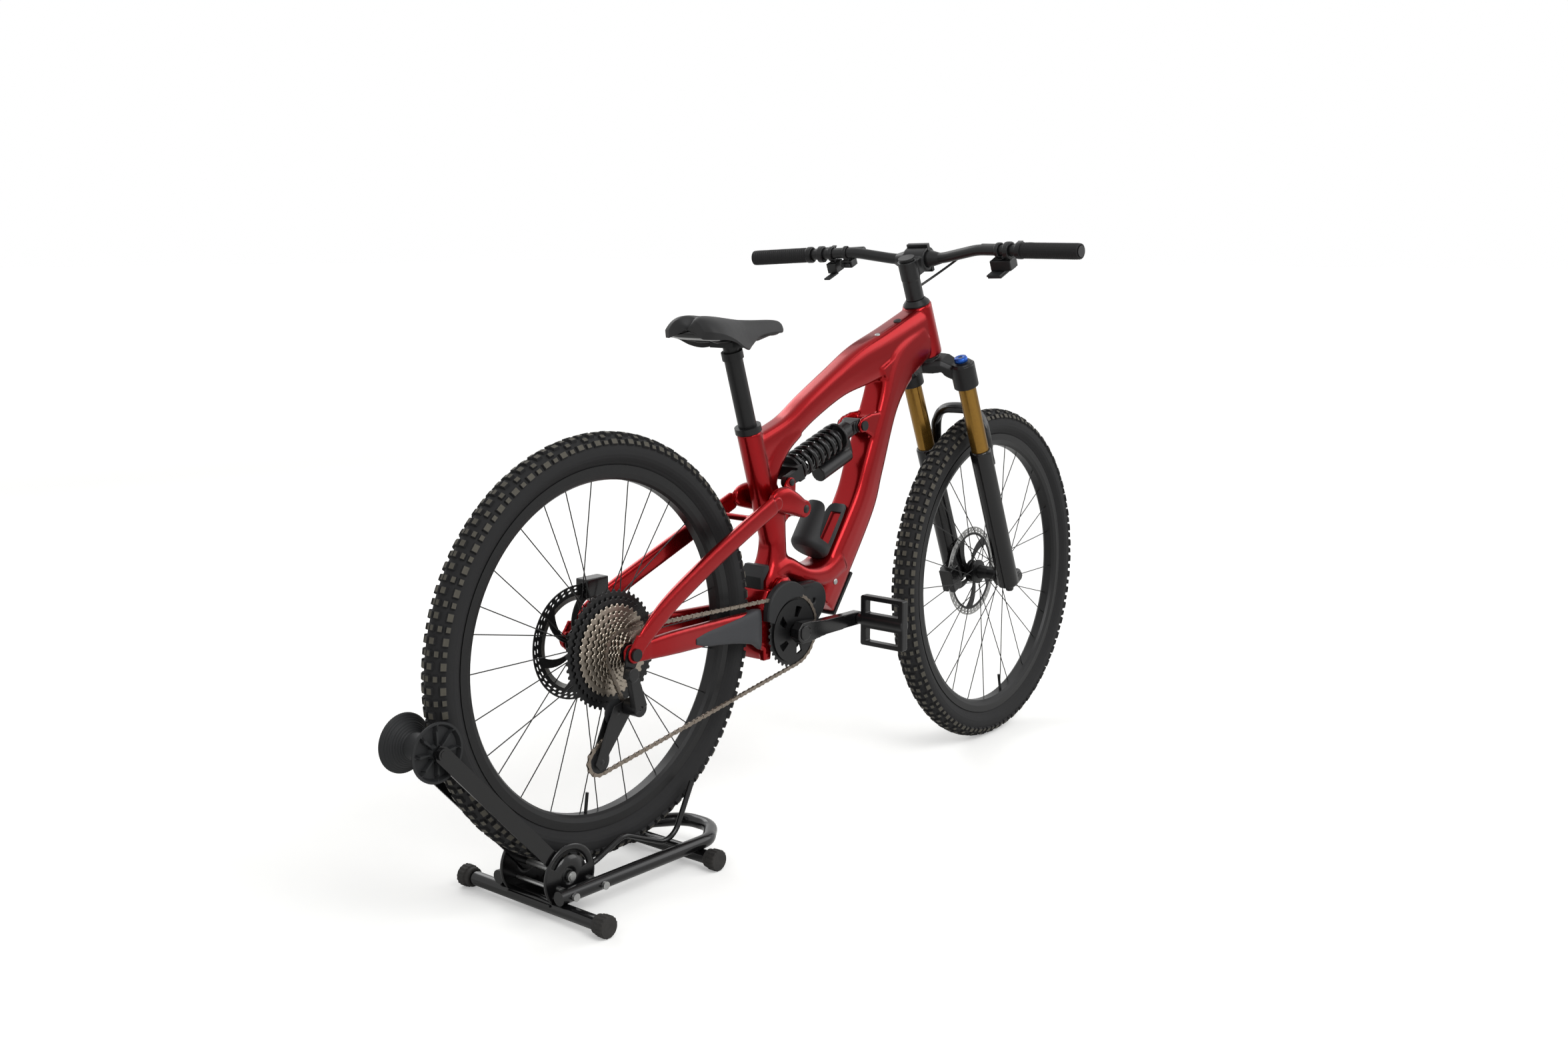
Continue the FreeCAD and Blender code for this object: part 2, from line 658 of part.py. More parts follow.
stem_clamp = cylinder("stem_clamp", "20", "40", (0, 0, stem_base))
stem_arm = box("stem_arm", ("stem_reach - 10", 42, 34), ("(stem_reach - 10) / 2 + 6", 0, "bar_height - 4"))
stem_jaw = cylinder("stem_jaw", "bar_radius + 6.5", 50, ("stem_reach", -25, "bar_height"), "y")
stem_solid = cut("stem_solid", fuse("stem_blank", stem_clamp, stem_arm, stem_jaw),
                 cylinder("steerer_bore", "steerer_radius + running_gap", 90, (0, 0, f"{stem_base} - 20")),
                 cylinder("bar_bore", "bar_radius + running_gap", 90, ("stem_reach", -45, "bar_height"), "y"),
                 box("jaw_split", (60, 80, 80), ("stem_reach + 30 + 2", 0, "bar_height")))
node("stem", fuse("stem", stem_solid, spacers), STEER)

plate_ring = cylinder("faceplate_ring", "bar_radius + 6.5", 50, ("stem_reach", -25, "bar_height"), "y")
plate_ears = [box(f"faceplate_ear_{side + 1}", (9, 50, 11), ("stem_reach + 7.5", 0, f"bar_height + {side} * (bar_radius + 7)"))
              for side in (-1, 1)]
faceplate = cut("faceplate_solid", fuse("faceplate_blank", plate_ring, *plate_ears),
                cylinder("faceplate_bore", "bar_radius + running_gap", 90, ("stem_reach", -45, "bar_height"), "y"),
                box("faceplate_split", (60, 80, 80), ("stem_reach - 30 + 2.6", 0, "bar_height")))
top_bolt = cylinder("stem_cap", "17", "3", (0, 0, "bar_height + 18.1"))
jaw_bolts = [cylinder(f"jaw_bolt_{across}_{side}", "3.6", "4", ("stem_reach + 12.1", across, f"bar_height + {side} * (bar_radius + 7)"), "x")
             for across in (-18, 18) for side in (-1, 1)]
node("stem_faceplate", fuse("stem_faceplate", faceplate, top_bolt, *jaw_bolts), STEER)

reach = value("stem_reach")
height = value("bar_height")
half = value("bar_half_width")
rise = value("bar_rise")
sweep = value("bar_sweep")
end_rise = rise - 4
bar_knee = 150
bar_start = 55


def bar_centre(across):
    """Where the bar's centre line runs beyond its knee, for a distance from its middle."""
    share = (abs(across) - bar_knee) / (half - bar_knee)
    return Vector(reach - sweep * (0.25 + 0.75 * share), across, height + end_rise + (rise - end_rise) * share)


bar_points = [bar_centre(-half), bar_centre(-bar_knee), Vector(reach, -bar_start, height), Vector(reach, bar_start, height),
              bar_centre(bar_knee), bar_centre(half)]
bar_tube = feature("bar_tube", pipe([tuple(point) for point in bar_points], value("grip_bar_radius"), 160))
bar_middle = cylinder("bar_middle", "bar_radius", 60, ("stem_reach", -30, "bar_height"), "y")
bar_taper = [cone("bar_taper_right", "grip_bar_radius", "bar_radius", 24, ("stem_reach", -54, "bar_height"), "y"),
             cone("bar_taper_left", "bar_radius", "grip_bar_radius", 24, ("stem_reach", 30, "bar_height"), "y")]
node("handlebar", fuse("handlebar", bar_tube, bar_middle, *bar_taper), STEER)


def bar_turn(side):
    """The rotation from the Z axis to the bar's outward run on one side."""
    run = bar_centre(side * half) - bar_centre(side * bar_knee)
    return Rotation(Vector(0, 0, 1), run)


def on_bar(item, side, across):
    """Set a piece whose Z axis lies along the bar at a distance from the bar's middle."""
    item.Placement = Placement(bar_centre(side * across), bar_turn(side))
    return item


def bar_sleeve(name, side, across, radius, length):
    """A ring round the bar, from a distance from the bar's middle outwards."""
    ring = revolved(name, [("grip_bar_radius + snug_gap", "0"), (radius, "0"), (radius, length),
                           ("grip_bar_radius + snug_gap", length)])
    return on_bar(ring, side, across)


grip_parts = []
for side in (-1, 1):
    grip_start = half - value("grip_length")
    grip_parts.append(bar_sleeve(f"grip_{side + 1}", side, grip_start, "grip_radius", "grip_length - 1"))
    grip_parts.append(bar_sleeve(f"grip_collar_{side + 1}", side, grip_start - 12, "grip_radius + 1.5", "11.8"))
node("grips", fuse("grips", *grip_parts), STEER)


def near_bar(side, across, forward, up):
    """A point beside the bar's run."""
    centre = bar_centre(side * across)
    return Vector(centre.x + forward, centre.y, centre.z + up)


def control(side):
    """A brake's clamp and cylinder, and the shifter's or remote's housing below the bar."""
    start = half - value("grip_length") - 40
    clamp = bar_sleeve(f"brake_clamp_{side + 1}", side, start, "17.5", "12")
    name = "right" if side < 0 else "left"
    cylinder_path = [tuple(near_bar(side, across, 27, -8)) for across in (start - 78, start + 30)]
    master = feature(f"master_{name}", pipe(cylinder_path, 10, 40))
    bridge_centre = near_bar(side, start + 6, 20, -6)
    bridge = feature(f"bridge_{name}", Part.makeBox(14, 11, 18, bridge_centre - Vector(7, 5.5, 9)))
    lugs = [feature(f"lever_lug_{name}_{level}", Part.makeBox(24, 12, 3, near_bar(side, start + 6, 40, level) - Vector(12, 6, 1.5)))
            for level in (-14.5, -1.5)]
    return [clamp, master, bridge, *lugs]


def shift_housing(side):
    start = half - value("grip_length") - 62
    name = "right" if side < 0 else "left"
    clamp = bar_sleeve(f"shift_clamp_{name}", side, start, "15.5", "9")
    middle = near_bar(side, start + 6, 4, -30)
    length = 46 if side < 0 else 24
    housing = feature(f"shift_body_{name}", Part.makeBox(30, length, 22, middle - Vector(15, length / 2, 11)))
    neck = feature(f"shift_neck_{name}", Part.makeBox(10, 8, 12, near_bar(side, start + 5, 0, -17) - Vector(5, 4, 6)))
    return [clamp, housing, neck]


node("right_controls", fuse("right_controls", *control(-1), *shift_housing(-1)), STEER)
mode_clamp = bar_sleeve("mode_clamp", 1, 166, "15", "8")
mode_box = feature("mode_box", Part.makeBox(24, 26, 16, near_bar(1, 172, 6, -24) - Vector(12, 13, 8)))
mode_neck = feature("mode_neck", Part.makeBox(9, 7, 8, near_bar(1, 170, 2, -15) - Vector(4.5, 3.5, 4)))
node("left_controls", fuse("left_controls", *control(1), *shift_housing(1), mode_clamp, mode_box, mode_neck), STEER)


def brake_lever(side):
    """A lever blade on its pin, running outwards in front of the grip."""
    start = half - value("grip_length") - 40
    path = [near_bar(side, start + 6, 45, -8), near_bar(side, start + 24, 54, -9), near_bar(side, start + 60, 52, -11),
            near_bar(side, start + 100, 57, -13)]
    blade = pipe([tuple(point) for point in path], 4.6, 60)
    hub = Part.makeCylinder(6, 9.4, path[0] - Vector(0, 0, 4.7))
    return blade.fuse(hub)


node("right_brake_lever", feature("right_brake_lever", brake_lever(-1)), STEER)
node("left_brake_lever", feature("left_brake_lever", brake_lever(1)), STEER)

shift_start = half - value("grip_length") - 62


def paddle(name, forward, up, width):
    """A thumb paddle hinged under the shifter's housing."""
    base = near_bar(-1, shift_start + 6, forward, up)
    hub = Part.makeCylinder(6, 4, base - Vector(0, 0, 4))
    blade = Part.makeBox(width, 30, 3.6, base - Vector(width, 15 - 9, 3.8))
    return feature(name, hub.fuse(blade))


node("shift_paddle_up", paddle("shift_paddle_up", 0, -41.5, 30), STEER)
node("shift_paddle_down", paddle("shift_paddle_down", 8, -46.2, 34), STEER)
dropper_base = near_bar(1, shift_start + 6, 0, -41.5)
dropper_blade = Part.makeCylinder(6, 4, dropper_base - Vector(0, 0, 4))
dropper_blade = dropper_blade.fuse(Part.makeBox(36, 14, 3.6, dropper_base - Vector(36, 7, 3.8)))
node("dropper_lever", feature("dropper_lever", dropper_blade), STEER)
mode_button_centre = near_bar(1, 172, -6 - 2.2, -24)
mode_pads = [Part.makeCylinder(4, 4, mode_button_centre + Vector(0, shift, 0), Vector(-1, 0, 0)) for shift in (-7, 7)]
mode_link = Part.makeBox(1.5, 14, 5, mode_button_centre - Vector(1.5, 7, 2.5))
node("mode_buttons", feature("mode_buttons", mode_link.multiFuse(mode_pads)), STEER)


# ---------------------------------------------------------------- front frame

def at_bike(ahead, across, height):
    return Vector(value(ahead), value(across), value(height))


top_tube = feature("top_tube", loft([
    (935, 0, 938, 25, 100, 60, 16), (825, 0, 900, 22, 95, 54, 16), (730, 0, 873, 24, 84, 50, 16),
    (648, 0, 843, 26, 62, 46, 15), (561, 0, 801, 28, 54, 44, 15), (494, 0, 763, 24, 54, 42, 15),
    (415, 0, 732, 20, 62, 42, 15)]))
down_tube = feature("down_tube", loft([
    (930, 0, 922, 48, 96, 60, 18), (850, 0, 872, 58, 105, 60, 20), (800, 0, 790, 66, 66, 64, 20),
    (748, 0, 668, 65, 70, 68, 20), (716, 0, 593, 60, 76, 68, 20), (632, 0, 473, 55, 80, 70, 20),
    (588, 0, 410, 54, 78, 70, 20)]))
motor_arch = feature("motor_arch", loft([
    (640, 0, 490, 30, 60, 72, 14), (590, 0, 470, 20, 50, 76, 12), (530, 0, 476, -8, 42, 78, 12),
    (478, 0, 500, -20, 44, 64, 12), (445, 0, 492, 20, 46, 62, 12)]))
SEAT_IN_BIKE = Placement(Vector(value("seat_top_ahead"), 0, value("seat_top_height")), SEAT.Rotation)
seat_tube = doc.addObject("Part::Cylinder", "seat_tube")
bind(seat_tube, "Radius", "post_radius + 6")
seat_tube.Height = 285
seat_tube.Placement = SEAT_IN_BIKE.multiply(Placement(Vector(0, 0, -280), Rotation()))
seat_bore = doc.addObject("Part::Cylinder", "seat_bore")
bind(seat_bore, "Radius", "post_radius + running_gap")
seat_bore.Height = 220
seat_bore.Placement = SEAT_IN_BIKE.multiply(Placement(Vector(0, 0, -160), Rotation()))
HEAD_IN_BIKE = Placement(HEAD.Base - Vector(rear_x, 0, 0), HEAD.Rotation)
head_tube = cylinder("head_tube", 31, "head_top - head_bottom", (0, 0, "head_bottom"))
head_room = cylinder("head_room", 102, 120, (0, 0, "head_bottom - 120"))
head_roof = cylinder("head_roof", 60, 80, (0, 0, "head_top"))
head_bore = cylinder("head_bore", "23.5 + running_gap", "head_top - head_bottom + 40", (0, 0, "head_bottom - 20"))
doc.recompute()
for piece in (head_tube, head_room, head_roof, head_bore):
    for axis in "xyz":
        piece.setExpression(f"Placement.Base.{axis}", None)
    piece.Placement = HEAD_IN_BIKE.multiply(piece.Placement)
pivot_lug = cylinder("pivot_lug", 18, 64, ("pivot_ahead", -32, "pivot_height"), "y")
rocker_lug = cylinder("rocker_lug", 17, 70, ("rocker_ahead", -35, "rocker_height"), "y")
rocker_web = plate("rocker_web", [("rocker_ahead", "rocker_height + 16"), ("rocker_ahead - 50", "rocker_height + 16"),
                                  ("rocker_ahead - 38", "rocker_height - 40"), ("rocker_ahead", "rocker_height - 16")], 40)
shock_lugs = []
for side in (-1, 1):
    lug = plate(f"shock_lug_{side + 1}", [
        ("shock_ahead - 4", "shock_height + 15"), ("shock_ahead - 15", "shock_height"), ("shock_ahead - 8", "shock_height - 14"),
        ("shock_ahead + 8", "shock_height - 14"), ("shock_ahead + 70", "shock_height - 30"),
        ("shock_ahead + 90", "shock_height + 50"), ("shock_ahead + 50", "shock_height + 82")], 8,
        [("shock_ahead", "shock_height", "6 + running_gap")])
    shock_lugs.append(moved(lug, f"{side} * 25"))
lug_bridge = box("lug_bridge", (44, 42, 40), ("shock_ahead + 68", 0, "shock_height + 30"))
crank_room = cylinder("crank_room", "48.1", 200, ("crank_ahead", -100, "crank_height"), "y")
motor_room = cylinder("motor_room", "45.1", 200, (520, -100, 425), "y")
room_web = box("motor_room_web", (66, 200, 68), (488, 0, 400))
pivot_bore = cylinder("pivot_bore", "8 + running_gap", 100, ("pivot_ahead", -50, "pivot_height"), "y")
rocker_bore = cylinder("rocker_bore", "8 + running_gap", 100, ("rocker_ahead", -50, "rocker_height"), "y")
frame_blank = fuse("frame_blank", top_tube, down_tube, motor_arch, seat_tube, head_tube, pivot_lug, rocker_lug, rocker_web,
                   *shock_lugs, lug_bridge)
node("front_frame", cut("front_frame", frame_blank, seat_bore, head_bore, head_room, head_roof, crank_room, motor_room,
                        pivot_bore, rocker_bore, room_web), BIKE)

motor_core = cylinder("motor_core", "48", 94, ("crank_ahead", -44, "crank_height"), "y")
motor_front = cylinder("motor_front", "45", 88, (520, -44, 425), "y")
motor_web = box("motor_web", (65.6, 88, 67.6), (488, 0, 400))
motor_bore = cylinder("motor_bore", "crank_axle_radius + running_gap", 120, ("crank_ahead", -60, "crank_height"), "y")
node("drive_unit", cut("drive_unit", fuse("motor_blank", motor_core, motor_front, motor_web), motor_bore), BIKE)

COVER = Placement(Vector(588, 0, 410), Rotation(Vector(0, 1, 0), 90 - 54))


battery_cover = local(box("battery_cover_plate", (6, 52, 96), (42.2, 0, 44)), COVER)

flap_points = [("pivot_ahead - 49", "pivot_height - 6"), ("pivot_ahead - 42", "pivot_height - 6"), ("pivot_ahead - 42", "pivot_height + 14"),
               ("pivot_ahead - 26", "pivot_height + 34"), ("pivot_ahead - 26", "pivot_height + 42"), ("pivot_ahead - 36", "pivot_height + 42"),
               ("pivot_ahead - 50", "pivot_height + 22")]
flap = plate("mud_flap_plate", flap_points, 52)
flap_tab = box("mud_flap_tab", (34, 30, 8), ("pivot_ahead - 20", 0, "pivot_height + 37"))
mud_flap = cut("mud_flap", fuse("mud_flap_blank", flap, flap_tab), frame_blank,
               cylinder("flap_lug_room", 18.1, 100, ("pivot_ahead", -50, "pivot_height"), "y"))

CAGE = Placement(Vector(632, 0, 473), Rotation(Vector(0, 1, 0), 90 - 55)).multiply(Placement(Vector(-40.2, 0, 0), Rotation()))
cage_strip = box("cage_strip", (5, 34, 124), (-2.6, 0, 62))
cage_floor = box("cage_floor", (74, 46, 5), (-37, 0, 2.5))
cage_wing = box("cage_wing", (5, 46, 92), (-72, 0, 46))
cage_cup = cut("cage_cup", cylinder("cage_cup_out", 39, 26, (-37.3, 0, 0)), cylinder("cage_cup_in", 36, 40, (-37.3, 0, 5)))
cage_trim = box("cage_trim", (80, 100, 200), (40.3, 0, 60))
cage = cut("cage_solid", fuse("cage_blank", cage_strip, cage_floor, cage_wing, cage_cup), cage_trim)
node("bottle_cage", cut("bottle_cage", local(cage, CAGE), frame_blank), BIKE)



# ---------------------------------------------------------------- rear suspension

def both(make):
    """The same piece on the right and on the left."""
    return [make(side) for side in (-1, 1)]


axle_hole = cylinder("axle_hole", "rear_axle_radius + running_gap", 220, (0, -110, rear_axle_z), "y")


def chainstay(side, grow=0):
    """One arm of the swingarm, swelling sideways from the yoke to the dropout."""
    sections = [(392, 40.5, 392, 0, 84, 11, 4), (372, 41.5, 400, 0, 72, 12, 4), (345, 47, 410, 0, 60, 20, 6),
                (250, 53, 420, 0, 50, 18, 6), (110, 69, 427, 0, 50, 18, 6), (30, 73, 427, 0, 28, 13, 5)]
    if grow:
        sections = [(x, y, z, tilt, depth + 2 * grow, width + 2 * grow, corner + grow)
                    for x, y, z, tilt, depth, width, corner in sections[2:5]]
    return feature(f"chainstay_{side + 1}_{int(grow)}", loft([(x, side * y, *rest) for x, y, *rest in sections]))


def dropout(side):
    outline = [(-17, rear_axle_z - 7), (-17, rear_axle_z + 7), (-7, rear_axle_z + 17), (20, rear_axle_z + 17), (45, rear_axle_z + 8),
               (45, rear_axle_z - 17), (-7, rear_axle_z - 17)]
    return moved(plate(f"dropout_{side + 1}", outline, 5.7), f"{side} * 76.9")


def pivot_ear(side):
    outline = [("pivot_ahead - 62", "pivot_height - 134"), ("pivot_ahead - 42", "pivot_height - 134"),
               ("pivot_ahead - 42", "pivot_height - 55"), ("pivot_ahead + 7", "pivot_height - 17"),
               ("pivot_ahead + 18", "pivot_height - 8"), ("pivot_ahead + 20", "pivot_height + 8"),
               ("pivot_ahead + 10", "pivot_height + 18"), ("pivot_ahead - 9", "pivot_height + 18"),
               ("pivot_ahead - 20", "pivot_height + 10"), ("pivot_ahead - 62", "pivot_height - 40")]
    return moved(plate(f"pivot_ear_{side + 1}", outline, 12), f"{side} * 39.3")


yoke_block = box("yoke_block", (20, 80, 94), ("pivot_ahead - 52", 0, "pivot_height - 87"))
arm_blank = fuse("arm_blank", *both(chainstay), *both(dropout), *both(pivot_ear), yoke_block)
ear_bore = cylinder("ear_bore", "8 + running_gap", 120, ("pivot_ahead", -60, "pivot_height"), "y")
swingarm_arms = cut("swingarm_arms", arm_blank, axle_hole, ear_bore)

guard_sleeve = cut("guard_sleeve", chainstay(-1, 2.5), chainstay(-1))
node("chainstay_guard", guard_sleeve, BIKE)
pivot_pin = cylinder("pivot_pin", 8, 91.4, ("pivot_ahead", -45.7, "pivot_height"), "y")
pivot_caps = both(lambda side: cylinder(f"pivot_cap_{side + 1}", 13, 2.4,
                                        ("pivot_ahead", f"{side} * 46.6 - 1.2", "pivot_height"), "y"))
node("swingarm", fuse("swingarm", swingarm_arms, pivot_pin, *pivot_caps), BIKE)

rear_pin = cylinder("rear_pin", "rear_axle_radius", 180.8, (0, -90.4, rear_axle_z), "y")
rear_pin_heads = [cylinder("rear_pin_nut", 11, 4, (0, -93.4, rear_axle_z), "y"),
                  cylinder("rear_pin_head", 11, 4, (0, 86.4, rear_axle_z), "y")]

hanger_outline = [(-23, rear_axle_z - 38), (-15, rear_axle_z - 42), (-6, rear_axle_z - 40), (-2, rear_axle_z - 32),
                  (15, rear_axle_z - 6), (14, rear_axle_z + 8), (4, rear_axle_z + 15), (-10, rear_axle_z + 12),
                  (-16, rear_axle_z)]
hanger = moved(plate("hanger_plate", hanger_outline, 3.8), "-81.8")
hanger_bore = cylinder("hanger_bore", "5 + running_gap", 40, (-13, -100, rear_axle_z - 31), "y")
drilled_hanger = cut("drilled_hanger", hanger, axle_hole, hanger_bore)
node("rear_axle", fuse("rear_axle", rear_pin, *rear_pin_heads, drilled_hanger), BIKE)


def seatstay(side):
    low_y, low_width = (83, 6) if side > 0 else (86.6, 4.6)
    sections = [(404, 52, 632, 20, 30, 10, 4), (328, 54, 608, 21, 32, 14, 5), (220, 61, 568, 20, 32, 15, 5),
                (117, 71, 537, 20, 34, 16, 5), (55, 80.5, 498, 48, 36, 12, 5), (16, low_y, 448, 62, 32, low_width, 2)]
    return feature(f"seatstay_{side + 1}", loft([(x, side * y, *rest) for x, y, *rest in sections]))


def stay_ends(side):
    low_y, low_width = (83, 6) if side > 0 else (-86.6, 4.6)
    ring = cylinder(f"stay_ring_{side + 1}", 16, low_width, (0, low_y - low_width / 2, rear_axle_z), "y")
    foot = plate(f"stay_foot_{side + 1}", [(-13, rear_axle_z + 8), (13, rear_axle_z - 8), (34, rear_axle_z + 18),
                                           (6, rear_axle_z + 34)], low_width)
    boss = cylinder(f"stay_boss_{side + 1}", 14, 10, ("stay_ahead", f"{side} * 52 - 5", "stay_height"), "y")
    return [ring, moved(foot, low_y), boss]


stay_bridge = cylinder("stay_bridge", 6, 110, (338, -55, 615), "y")
stays = fuse("stays_blank", *both(seatstay), *stay_ends(-1), *stay_ends(1), stay_bridge)
drilled_stays = cut("drilled_stays", stays, axle_hole)
stay_bolts = both(lambda side: cylinder(f"stay_bolt_{side + 1}", 9, 2.5, ("stay_ahead", f"{side} * 58.4 - 1.25", "stay_height"), "y"))
node("seatstays", fuse("seatstays", drilled_stays, *stay_bolts), BIKE)

caliper_box = box("rear_caliper_box", (52, 29, 34), (40, 57.6, rear_axle_z + 93))
rotor_slot = cylinder("rear_rotor_slot", "rotor_radius + 2", "rotor_thickness + 2.4",
                      (0, "rear_rotor_offset - rotor_thickness / 2 - 1.2", rear_axle_z), "y")
node("rear_caliper", cut("rear_caliper", caliper_box, rotor_slot, stays), BIKE)


def rocker_plate(side):
    outline = [("rocker_ahead + 21", "rocker_height"), ("rocker_ahead + 10", "rocker_height - 19"),
               ("rocker_ahead - 12", "rocker_height - 18"), ("stay_ahead + 2", "stay_height - 15"),
               ("stay_ahead - 13", "stay_height - 6"), ("stay_ahead - 12", "stay_height + 9"),
               ("yoke_ahead - 12", "yoke_height + 10"), ("yoke_ahead + 5", "yoke_height + 14"),
               ("yoke_ahead + 15", "yoke_height + 3"), ("rocker_ahead + 17", "rocker_height + 14")]
    return moved(plate(f"rocker_plate_{side + 1}", outline, 10), f"{side} * 41")


rocker_axle = cylinder("rocker_axle", 8, 100, ("rocker_ahead", -50, "rocker_height"), "y")
rocker_barrels = both(lambda side: cylinder(f"rocker_barrel_{side + 1}", 17, 6, ("rocker_ahead", f"{side} * 48.5 - 3", "rocker_height"), "y"))
rocker_bolts = both(lambda side: cylinder(f"rocker_bolt_{side + 1}", 9, 3, ("yoke_ahead", f"{side} * 47.6 - 1.5", "yoke_height"), "y"))
node("rocker", fuse("rocker", *both(rocker_plate), rocker_axle, *rocker_barrels, *rocker_bolts), BIKE)

shock_pin = cylinder("shock_pin", 6, 62, ("shock_ahead", -31, "shock_height"), "y")
shock_pin_heads = both(lambda side: cylinder(f"shock_pin_head_{side + 1}", 10, 3, ("shock_ahead", f"{side} * 30.6 - 1.5", "shock_height"), "y"))
shock_bolt = local(fuse("shock_bolt", shock_pin, *shock_pin_heads), BIKE)

coil_start = 60
coil_end = 204
eye = cylinder("shock_eye", 14, 41, (0, -20.5, 0), "y")
neck = box("shock_neck", (26, 30, 26), (0, 0, 15))
damper = cylinder("damper", 15, 130, (0, 0, 18))
upper_perch = cylinder("upper_perch", 28, 6, (0, 0, coil_start - 7))
collar = cylinder("perch_collar", 18, 34, (0, 0, coil_start - 38))
reservoir = cylinder("reservoir", 16.5, 96, (-46, 0, 38))
reservoir_neck = box("reservoir_neck", (44, 20, 22), (-26, 0, 40))
reservoir_shape = fuse("shock_blank", eye, neck, damper, upper_perch, collar, reservoir, reservoir_neck)
shock_cut = cut("shock_cut", reservoir_shape, cylinder("shaft_bore", "5 + running_gap", 122, (0, 0, 38)),
                cylinder("eye_bore", "6 + running_gap", 80, (0, -40, 0), "y"))
node("shock_body", fuse("shock_body", shock_cut, cylinder("shock_dial", 8, 9, (-46, 0, 28.9))), SHOCK)

turns = value("coil_turns")
coil_length = coil_end - coil_start - 2 * value("coil_wire") - 1
helix = Part.makeHelix(coil_length / turns, coil_length, value("coil_radius"))
start_point = helix.Edges[0].valueAt(helix.Edges[0].FirstParameter)
start_run = helix.Edges[0].tangentAt(helix.Edges[0].FirstParameter)
coil_ring = Part.Wire(Part.makeCircle(value("coil_wire"), start_point, start_run))
coil = Part.Wire(helix.Edges).makePipeShell([coil_ring], True, True)
coil.translate(Vector(0, 0, coil_start + value("coil_wire") + 0.5))
node("shock_spring", feature("shock_spring", coil), SHOCK)

shaft = cylinder("shock_shaft_rod", 5, coil_end + 12 - 92, (0, 0, 92))
lower_perch = cylinder("lower_perch", 28, 6, (0, 0, coil_end + 0.5))
yoke_bar = box("yoke_bar", (30, 70, 15), (0, 0, coil_end + 13.5))
yoke_ears = both(lambda side: box(f"yoke_ear_{side + 1}", (22, 11, shock_length - coil_end - 8),
                                  (0, side * 29.5, (shock_length + coil_end + 8) / 2)))
yoke_eyes = both(lambda side: cylinder(f"yoke_eye_{side + 1}", 12, 11, (0, side * 29.5 - 5.5, shock_length), "y"))
node("shock_shaft", fuse("shock_shaft", shaft, lower_perch, yoke_bar, *yoke_ears, *yoke_eyes), SHOCK)


# ---------------------------------------------------------------- drivetrain

chain_middle = value("smallest_cog_offset - 4 * cog_spacing - cog_thickness / 2")
upper_jockey = (-19, rear_axle_z - 102)
lower_jockey = (-57, rear_axle_z - 180)
CHAIN_WHEELS = (
    (value("crank_ahead"), value("crank_height"), value(pitch_radius("ring_teeth")), 1),
    (0, rear_axle_z, value(pitch_radius("drive_cog_teeth")), 1),
    (*upper_jockey, value(pitch_radius("jockey_teeth")), -1),
    (*lower_jockey, value(pitch_radius("jockey_teeth")), 1),
)


def loop_wire(offset):
    """The chain's loop moved outwards by an offset: tangent runs joined by arcs round its wheels."""
    runs = []
    for index, (ahead, up, radius, sense) in enumerate(CHAIN_WHEELS):
        next_ahead, next_up, next_radius, next_sense = CHAIN_WHEELS[(index + 1) % len(CHAIN_WHEELS)]
        here = sense * radius + offset
        there = next_sense * next_radius + offset
        distance = math.hypot(next_ahead - ahead, next_up - up)
        bearing = math.atan2(next_up - up, next_ahead - ahead) - math.asin((there - here) / distance)
        left = (-math.sin(bearing), math.cos(bearing))
        runs.append((Vector(ahead - here * left[0], 0, up - here * left[1]),
                     Vector(next_ahead - there * left[0], 0, next_up - there * left[1])))
    edges = []
    for index, (ahead, up, radius, sense) in enumerate(CHAIN_WHEELS):
        arrive = runs[index - 1][1]
        leave = runs[index][0]
        first = math.atan2(arrive.z - up, arrive.x - ahead)
        last = math.atan2(leave.z - up, leave.x - ahead)
        sweep = sense * ((sense * (last - first)) % (2 * math.pi))
        reach = radius + sense * offset
        middle = first + sweep / 2
        bend = Part.Arc(arrive, Vector(ahead + reach * math.cos(middle), 0, up + reach * math.sin(middle)), leave)
        edges.append(bend.toShape())
        edges.append(Part.LineSegment(*runs[index]).toShape())
    return Part.Wire(Part.__sortEdges__(edges))


def chain_band(outer, inner, width, across):
    """A band of the chain between two offsets from its pitch line."""
    faces = [Part.Face(loop_wire(offset)) for offset in (outer, inner)]
    solids = [face.extrude(Vector(0, width, 0)) for face in faces]
    band = solids[0].cut(solids[1])
    band.translate(Vector(0, across - width / 2, 0))
    return band


half_height = value("chain_height / 2")
half_plate = (value("chain_width") - value("chain_groove")) / 4
plate_middle = value("chain_groove") / 2 + half_plate
chain = chain_band(1, -1, value("chain_width") - 0.2, -chain_middle)
for side in (-1, 1):
    chain = chain.fuse(chain_band(half_height, -half_height, 2 * half_plate, side * plate_middle - chain_middle))
node("chain", feature("chain", chain.removeSplitter()), BIKE)

ring = cylinder("ring_disc", pitch_radius("ring_teeth") + " - tooth_drop", "cog_thickness",
                ("crank_ahead", f"-{chain_middle} - cog_thickness / 2", "crank_height"), "y")
ring_spider = cylinder("ring_spider", 58, 7, ("crank_ahead", -chain_middle - 5, "crank_height"), "y")
ring_boss = cylinder("ring_boss", 24, 14, ("crank_ahead", -66.8, "crank_height"), "y")
crank_bore = cylinder("crank_bore", "crank_axle_radius + running_gap", 240, ("crank_ahead", -120, "crank_height"), "y")
node("chainring", cut("chainring", fuse("ring_blank", ring, ring_spider, ring_boss), crank_bore), BIKE)
crank_caps = both(lambda side: cylinder(f"crank_cap_{side + 1}", 15, 2, ("crank_ahead", f"{side} * 88.1 - 1", "crank_height"), "y"))
crank_pin = cylinder("crank_pin", "crank_axle_radius", 174, ("crank_ahead", -87, "crank_height"), "y")


